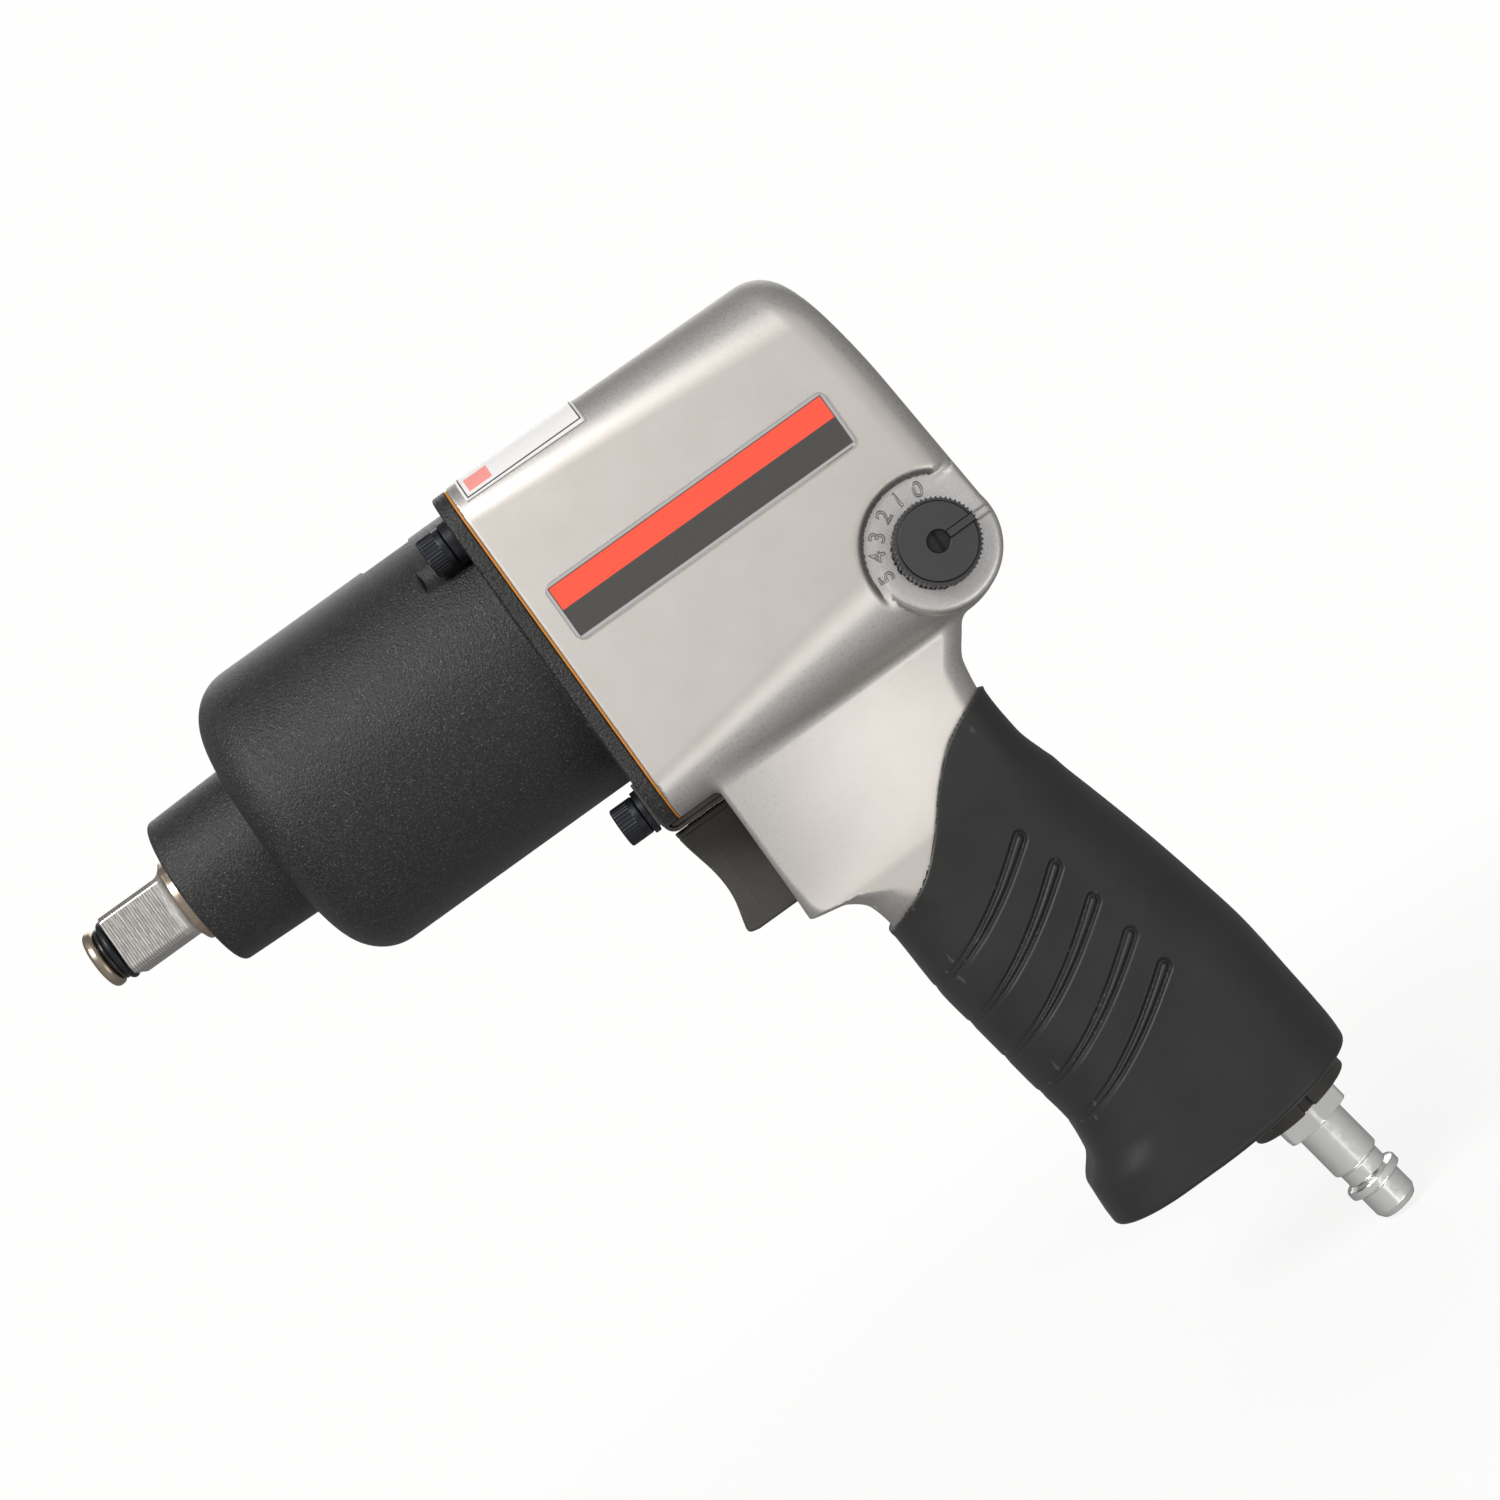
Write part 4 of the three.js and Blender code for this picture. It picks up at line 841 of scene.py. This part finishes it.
def screw_field(head_from):
    """Socket head cap screw along +X with a straight knurl and a plain band next to the seat."""
    def field(p):
        x, y, z = p
        radial = np.hypot(y, z)
        turn = np.arctan2(z, y)
        knurl = 0.16 * np.abs(np.sin(18 * turn)) * unit((head_from + 3.6 - x) / 0.3)
        head = rounded([radial - 4 + knurl, slab(x, head_from, head_from + 5)], 0.5)
        angle = (turn + math.pi / 6) % (math.pi / 3) - math.pi / 6
        socket = np.maximum(radial * np.cos(angle) - 2, np.abs(x - head_from) - 2.6)
        shank = rod(p, 0, (0, 0), 2.45, head_from + 4, 12)
        return join(cut(head, socket, 0.15), shank)
    return field


def washer_field(x0, x1):
    """Split lock washer along +X."""
    def field(p):
        x, y, z = p
        ring = rounded([np.abs(np.hypot(y, z) - 3.6) - 0.9, slab(x, x0, x1)], 0.15)
        return cut(ring, np.maximum(np.abs(y + 0.5 * (x - x0)) - 0.4, -z))
    return field


def strap_field(p):
    """Steel strip held beneath the lower screws and bent back over the trigger; a solid block fills the gap
    between it and the housing, standing in for the shade there.
    """
    x, y, z = p
    half = (strap_low[0] + 0.45, strap_low[2] + 0.45)
    turn = np.linspace(math.pi, 1.5 * math.pi, 9)
    bend = [(half[0] + 2 + 2 * math.cos(a), half[1] + 2 + 2 * math.sin(a)) for a in turn]
    path = [(half[0], -33.4)] + bend + [(strap_high[0] + 1.7, half[1])]
    strip = rounded([path_distance(x, z, path) - 0.45, np.abs(y) - 9], 0.15)
    ears = block(p, (strap_low[0], strap_low[1], -41.6), (strap_low[0] + 0.9, strap_high[1], -32.4), 0.15)
    # This block stands in for the shade in the gap between the strip and the housing, filling that gap with
    # dark steel.
    under = block(p, (-1.8, -8.5, strap_low[2] + 0.7), (10.2, 8.5, BARREL_LOW - 0.1), 0.1)
    body = join(join(strip, ears, 0.3), under)
    for place in (SCREWS[3], SCREWS[4]):
        body = cut(body, rod(p, 0, place, SCREW_HOLE, -12, 2, 0))
    return body


# ---- Anvil, its rings, the knob, the trigger and the foot


def turned_back(p, angle):
    """Points turned about the drive axis, so that a turned shape can be written upright."""
    x, y, z = p
    return x, y * math.cos(angle) + z * math.sin(angle), z * math.cos(angle) - y * math.sin(angle)


def anvil_field(p):
    """Square drive with a ring groove and a pilot tip, collar, shaft and one jaw for each hammer."""
    x, y, z = turned_back(p, ANVIL_TURN)
    radial = np.hypot(y, z)
    tip = rounded([radial - 6.1, slab(x, -107.2, -104.8)], 1.0)
    tip = cut(tip, rounded([radial - 1.6, slab(x, -108.7, -106.6)], 0.3), 0.3)
    core = rod((x, y, z), 0, (0, 0), 4.6, -106, -95)
    square = rounded([np.abs(y) - DRIVE / 2, np.abs(z) - DRIVE / 2, slab(x, -101.8, -85)], 0.25)
    square = meet(square, (np.abs(y) + np.abs(z)) * math.sqrt(0.5) - 8.31, 0.15)
    square = meet(square, radial - 8.0 - (x + 101.8) * 1.2, 0.3)
    collar = rounded([radial - 9 - 0.45 * unit((x + 84.2) / 0.2), slab(x, -86.9, -60.2)], 0.5)
    body = join(join(tip, core), join(square, collar, 1.8))
    thrust = rounded([radial - 12.3, slab(x, -60, -55.5)], 0.3)
    shaft = rod((x, y, z), 0, (0, 0), 9.5, -62, -10.6)
    body = join(body, join(thrust, shaft))
    for side, x0, x1 in ((1, -54.1, -33.2), (-1, -31.8, -10.6)):
        lug = rounded([radial - 12.5, np.abs(y) - 6.5, -side * z, slab(x, x0, x1)], 0.4)
        body = join(body, lug, 0.5)
    return body


def torus_field(x0, radius, wire, gap=0.0):
    """Round ring in the anvil's groove, split over a gap."""
    def field(p):
        x, y, z = turned_back(p, ANVIL_TURN)
        ring = np.hypot(x - x0, np.hypot(y, z) - radius) - wire
        return cut(ring, np.maximum(np.abs(y) - gap, -z)) if gap else ring
    return field


def knob_field(p):
    """Knurled knob with a chamfered face, a centre hole and a raised rib that points along +X."""
    x, y, z = p
    dx, dz = x - REG_X, z - REG_Z
    radial = np.hypot(dx, dz)
    turn = np.arctan2(dz, dx)
    face, near = knob_low[1] + 0.7, knob_high[1]
    knurl = 0.5 * np.abs(np.sin(28 * turn)) * unit((y - face - 0.3) / 0.3)
    body = rounded([radial - 8.2 + knurl, slab(y, face + 0.5, near)], 0.15)
    body = join(body, rounded([radial - 7.25, slab(y, face, near)], 0.2))
    rib = rounded([np.abs(dz) - 0.75, np.abs(dx - 4.9) - 3.0, slab(y, face - 0.45, face + 2)], 0.2)
    body = join(body, meet(rib, radial - 7.7), 0.25)
    body = cut(body, rod(p, 1, REG, 2.05, face - 3, face + 1.9, 0.2), 0.25)
    body = cut(body, rod(p, 1, REG, 1.5, face, near + 2, 0.0))
    body = cut(body, rod(p, 1, REG, 3.15, near - 3.2, near + 2, 0.0))
    return cut(body, rod(p, 1, (REG_X, REG_Z + 6.1), 1.75, near - 5, near + 2, 0.0))


def bezier(a, b, c, d, count=10):
    t = np.linspace(0, 1, count)[:, None]
    a, b, c, d = (np.array(q, float) for q in (a, b, c, d))
    return a * (1 - t) ** 3 + 3 * b * t * (1 - t) ** 2 + 3 * c * t ** 2 * (1 - t) + d * t ** 3


def trigger_field(p):
    """Button, hollow behind, with a moulding seam on its sides and a lip along its top."""
    x, y, z = p
    half = 8.6
    front, top, bottom, back = trigger_low[0], trigger_high[2] + 0.85, trigger_low[2], 10.1
    hollow_at, tip_at, foot_at = (front + 2.4, -58.5), (front + 0.7, bottom + 1.6), (front + 2.2, bottom)
    side = [bezier((front, top), (front + 0.4, -50), (front + 2.4, -54), hollow_at),
            bezier(hollow_at, (front + 2.4, -62), (front + 1.4, -64), tip_at),
            bezier(tip_at, (front + 0.4, bottom + 0.4), (front + 0.9, bottom), foot_at),
            np.array([[back, bottom], [back, top]])]
    outline = path_distance(x, z, np.concatenate(side), closed=True)
    bow = 0.25 * unit(1 - (x - front) / 3)
    body = rounded([outline + bow * (np.abs(y) / half) ** 2 * 3, np.abs(y) - half], 0.7)
    seam = np.exp(-((x - 2.9) / 0.16) ** 2) * unit((z + 66) / 2) * unit((-49.5 - z) / 2)
    lip = unit(1 - np.abs(z - top + 1.2) / 0.25)
    body = body - 0.12 * seam * (np.abs(y) > 7) + 0.15 * lip
    hollow = block(p, (4, 1.8 - half, bottom + 1.8), (14, half - 1.8, top - 1.8), 0.6)
    seat = rod(p, 0, ROD_AXIS, 4, 1, 5.6)
    return cut(join(cut(body, hollow), meet(seat, outline)), rod(p, 0, ROD_AXIS, 1.7, 3, 9, 0))


def plug_field(p):
    """Turned quick-connect plug with a hexagon, along the inlet axis."""
    along, side, radial = on_foot_axis(p)
    y = p[1]
    down = -along
    profile = [(-17.5, 0), (-17.5, 4.9), (4, 4.9), (4, 5.2), (16.7, 5.2), (17.4, 4.4), (20.2, 4.4),
               (20.8, 5.7), (21.1, 5.9), (22.4, 5.9), (23.1, 4.6), (27.6, 4.6), (28.8, 3.9), (29, 3.7),
               (29, 0)]
    body = path_distance(down, radial, profile, closed=True) - 0.05
    turn = np.arctan2(y, side)
    angle = (turn + math.pi / 6) % (math.pi / 3) - math.pi / 6
    hexagon = rounded([radial * np.cos(angle) - 6.95, slab(down, 1.6, 6.2)], 0.15)
    hexagon = meet(hexagon, radial - 7.75 + np.maximum(np.abs(down - 3.9) - 1.8, 0) * 0.6, 0.1)
    thread = 0.25 * unit(np.abs((down * 0.72) % 1 - 0.5) * 2) * (down < 1.4)
    body = join(body + thread, hexagon, 0.3)
    return cut(body, np.maximum(radial - 3, np.abs(down - 6) - 30), 0.4)


def deflector_field(p):
    """Notched ring round the inlet at the handle's foot."""
    along, side, radial = on_foot_axis(p)
    y = p[1]
    ring = rounded([np.abs(radial - 8.5) - 2.75, slab(along, -1.7, HANDLE_END - 0.3)], 0.35)
    notch = rounded([np.abs(side) - 1.2, np.abs(y + 11) - 1.6, np.abs(along - 0.3) - 4], 0.2)
    return cut(ring, notch, 0.3)


def dial_mark_field(p):
    """Two low ridges that carry the knob's pointer on across the boss."""
    x, y, z = p
    return rounded([np.abs(np.abs(z - REG_Z) - 0.8) - 0.2, slab(x, REG_X + 8.5, REG_X + 12.2),
                    slab(y, REG_FACE - 0.25, REG_FACE + 0.3)], 0.12)


def dial_figures(look):
    """Raised outlines of the figures 0 to 5, standing round the knob with their tops outward."""
    points, faces = [], []
    for figure, degrees in enumerate((72, 94, 115, 137, 156, 178)):
        curve = bpy.data.curves.new("figure", "FONT")
        curve.body = str(figure)
        curve.size = 4.1
        curve.align_x = curve.align_y = "CENTER"
        curve.fill_mode = "NONE"
        curve.bevel_depth = 0.11
        curve.resolution_u = 4
        text = bpy.data.objects.new("figure", curve)
        bpy.context.scene.collection.objects.link(text)
        mesh = bpy.data.meshes.new_from_object(text.evaluated_get(bpy.context.evaluated_depsgraph_get()))
        turn = math.radians(degrees)
        first = len(points)
        for vertex in mesh.vertices:
            across, out = vertex.co.x, FIGURE_RING + vertex.co.y
            points.append([REG_X + out * math.cos(turn) + across * math.sin(turn),
                           REG_FACE - vertex.co.z,
                           REG_Z + out * math.sin(turn) - across * math.cos(turn)])
        faces += [[first + i for i in polygon.vertices] for polygon in mesh.polygons]
        bpy.data.objects.remove(text)
    return finished("dial_figures", points, faces, look, "housing")


def name_plate():
    """Stamped plate: a raised border with a bevelled outer edge round a sunken printed field."""
    centre = (plate_low + plate_high) / 2
    lean = math.radians(0.2)
    length, height = PLATE_SIZE
    back = plate_high[1]
    rings = [(0, back), (0, back - 0.42), (0.25, back - 0.6), (0.8, back - 0.6), (0.95, back - 0.5),
             (1.2, back - 0.5)]
    points, faces = [], []
    steps = 8
    per = 4 * (steps + 1)
    for inset, y in rings:
        radius = max(1.6 - inset, 0.5)
        a, b = length / 2 - inset - radius, height / 2 - inset - radius
        for quarter, (sa, sb) in enumerate(((1, 1), (-1, 1), (-1, -1), (1, -1))):
            for k in range(steps + 1):
                turn = (quarter + k / steps) * math.pi / 2
                u, v = sa * a + radius * math.cos(turn), sb * b + radius * math.sin(turn)
                points.append([centre[0] + u * math.cos(lean) + v * math.sin(lean), y,
                               centre[2] + v * math.cos(lean) - u * math.sin(lean)])
    for r in range(len(rings) - 1):
        for k in range(per):
            a, b = r * per + k, r * per + (k + 1) % per
            faces.append([a, b, b + per, a + per])
    faces.append(list(range(per))[::-1])
    faces.append([(len(rings) - 1) * per + k for k in range(per)])
    look = printed_plate(np.array([centre[0], 0, centre[2]]), lean, length, height)
    return finished("name_plate_printed", points, faces, look, "housing", ["name_plate"],
                    smooth=False)


# ---- Building the pieces

plastic = moulded_plastic()
oxide = black_oxide()
zinc = bright_zinc()
strap_steel = dark_steel("strap_steel", (0.11, 0.105, 0.1), 0.3)
seal_rubber = plain("seal_rubber", (0.006, 0.006, 0.006), (0.012, 0.012, 0.012), 0.2)
figure_metal = plain("figure_metal", (0.2, 0.19, 0.18), (0.42, 0.4, 0.38), 0.4, 1.0, 0.3)

rebuilt("motor_housing", "housing_casting", housing_field, 0.5, cast_aluminium())
rebuilt("hammer_case", "hammer_case_casting", case_field, 0.5, wrinkle_black())
rebuilt("grip_sleeve", "grip_rubber", grip_field, 0.33, moulded_rubber())
rebuilt("trigger", "trigger_button", trigger_field, 0.3, plastic, "trigger")
rebuilt("trigger_strap", "trigger_strap_bent", strap_field, 0.18, strap_steel,
        box=(strap_low, strap_high + (3, 0, 0)))
rebuilt("anvil", "square_drive_anvil", anvil_field, 0.3, ground_steel(), "anvil")
rebuilt("socket_retaining_ring", "friction_ring", torus_field(-102.85, 5.7, 0.8, 1.0), 0.15, oxide,
        "anvil", ([-104, -7, -7], [-101.7, 7, 7]))
rebuilt("retaining_ring_seal", "friction_ring_seal", torus_field(-104.2, 5.15, 0.55), 0.15, seal_rubber,
        "anvil", ([-105, -7, -7], [-103.4, 7, 7]))
rebuilt("regulator_knob", "regulator_dial_knob", knob_field, 0.14, knob_black(), "regulator")
rebuilt("air_plug", "air_plug_turned", plug_field, 0.25, zinc)
rebuilt("exhaust_deflector", "exhaust_ring", deflector_field, 0.25, plastic, "deflector")
for i, (sy, sz) in SCREWS.items():
    at = np.array([0, sy, sz])
    screw, washer = f"cap_screw_{i}", f"lock_washer_{i}"
    rows = ((screw, f"cap_screw_knurled_{i}", screw_field(span(screw)[0][0]), 0.18),
            (washer, f"split_washer_{i}", washer_field(*[x for x, _, _ in span(washer)]), 0.15))
    for node, name, field, step in rows:
        box = [corner - at for corner in span(node)]
        piece = rebuilt(node, name, field, step, oxide, box=box)
        piece.data.transform(Matrix.Translation(Vector(at * MM)))
label_strip("top_sticker", printed_label())
mesh_of("dial_mark", dial_mark_field, (REG_X + 8, REG_FACE - 0.5, REG_Z - 1.5),
        (REG_X + 13, REG_FACE + 0.5, REG_Z + 1.5), 0.1, figure_metal, "housing")
dial_figures(figure_metal)
name_plate()

# The CAD nodes by look; those that aren't listed are dark hard steel.
hard_steel = dark_steel()
inner_looks = {}
for look, nodes in (
    (plain("bright_steel", (0.42, 0.41, 0.4), (0.62, 0.6, 0.58), 0.25, 1.0, 0.3),
     ["hammer_pin_1", "hammer_pin_2", "cylinder_dowel", "front_rotor_bearing", "rear_rotor_bearing",
      "regulator_valve", "detent_ball", "detent_spring", "valve_spring", "trigger_rod"]),
    (plain("sintered_bronze", (0.3, 0.17, 0.05), (0.5, 0.3, 0.1), 0.35, 1.0, 0.3, 0.3),
     ["anvil_bushing", "regulator_bushing", "trigger_bushing", "valve_seat"]),
    (plain("oiled_gasket", (0.45, 0.16, 0.012), (0.62, 0.25, 0.03), 0.5, 0.0, 0.5, 0.3),
     ["housing_gasket", "rear_plate_seal"]),
    (plain("vane_resin", (0.1, 0.045, 0.02), (0.19, 0.09, 0.04), 0.5, 0.0, 0.4, 0.3),
     [f"vane_{i}" for i in range(1, 7)]),
    (seal_rubber, ["regulator_seal", "tip_valve"]),
    (zinc, ["inlet_strainer"]),
    (plain("dark_socket", (0.01, 0.01, 0.01), (0.025, 0.024, 0.023), 0.4, 0.5, 0.3), ["knob_screw"]),
):
    inner_looks.update({name: look for name in nodes})
for name, node in frame["nodes"].items():
    node.data.materials.clear()
    node.data.materials.append(inner_looks.get(name, hard_steel))

# ---- Floor, light and camera

scene = bpy.context.scene
scene.view_settings.view_transform = "Standard"
VIEW_ROLL = math.radians(35.7)
VIEW_POINT = (np.array([18.7, -560, -40]) + SHIFT) * MM
LENS = 69.6


def make_camera():
    data = bpy.data.cameras.new("camera")
    data.sensor_width = 36
    data.lens = LENS
    camera = bpy.data.objects.new("camera", data)
    scene.collection.objects.link(camera)
    c, s = math.cos(VIEW_ROLL), math.sin(VIEW_ROLL)
    turn = Matrix(((c, s, 0), (0, 0, -1), (-s, c, 0)))
    camera.matrix_world = Matrix.Translation(Vector(VIEW_POINT)) @ turn.to_4x4()
    scene.camera = camera


def make_world():
    """Near white behind the tool; what the metal mirrors is brighter on the near side than behind."""
    world = bpy.data.worlds.new("studio")
    scene.world = world
    world.use_nodes = True
    nodes = Nodes(world.node_tree)
    away = nodes.node("SeparateXYZ", {0: nodes.node("TexCoord", out="Generated")}, out=1)
    ramp = {"Value": away, "From Min": -1, "From Max": 1, "To Min": 0.56, "To Max": 0.22}
    mirrored = nodes.node("MapRange", ramp)
    seen = nodes.node("LightPath", out="Is Camera Ray")
    background = nodes.tree.nodes["Background"]
    nodes.feed(background.inputs["Strength"], nodes.node("Mix", {0: seen, 2: mirrored, 3: 1.0}))
    nodes.feed(background.inputs["Color"], (1.0, 0.995, 0.99))


def soft_light(name, place, target, size, power):
    data = bpy.data.lights.new(name, "AREA")
    data.shape = "RECTANGLE"
    data.size, data.size_y = size
    data.energy = power
    light = bpy.data.objects.new(name, data)
    light.location = place
    light.rotation_euler = (Vector(target) - Vector(place)).to_track_quat("-Z", "Y").to_euler()
    scene.collection.objects.link(light)


def make_floor():
    """Pale round floor that fades into the background."""
    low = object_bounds()[0].z
    bpy.ops.mesh.primitive_circle_add(vertices=96, radius=1.2, fill_type="NGON",
                                      location=(PLANE_X * MM, 0, low - 0.0005))
    floor = bpy.context.object
    floor.name = "floor"
    look = Look("pale_floor", roughness=0.8)
    distance = look.node("VectorMath", {0: look.place}, out=1, operation="LENGTH")
    look.set(color=look.mix(look.noise(3, 2), (0.86, 0.86, 0.86), (0.9, 0.9, 0.9)))
    clear = look.band(distance, 60, 500, 0.86, 1)
    faded = look.node("MixShader", {0: clear, 1: look.shader.outputs[0], 2: look.node("BsdfTransparent")})
    look.feed(look.tree.nodes["Material Output"].inputs["Surface"], faded)
    floor.data.materials.append(look.material)
    floor.visible_glossy = False


make_camera()
make_world()
middle = (PLANE_X * MM, 0, -0.04)
soft_light("key_light", (PLANE_X * MM - 0.5, -0.9, 0.75), middle, (0.7, 0.5), 13)
soft_light("fill_light", (PLANE_X * MM + 0.4, -0.8, -0.75), middle, (0.9, 0.7), 2.2)
soft_light("back_light", (PLANE_X * MM + 0.1, 0.9, 0.5), middle, (0.9, 0.6), 3)
make_floor()
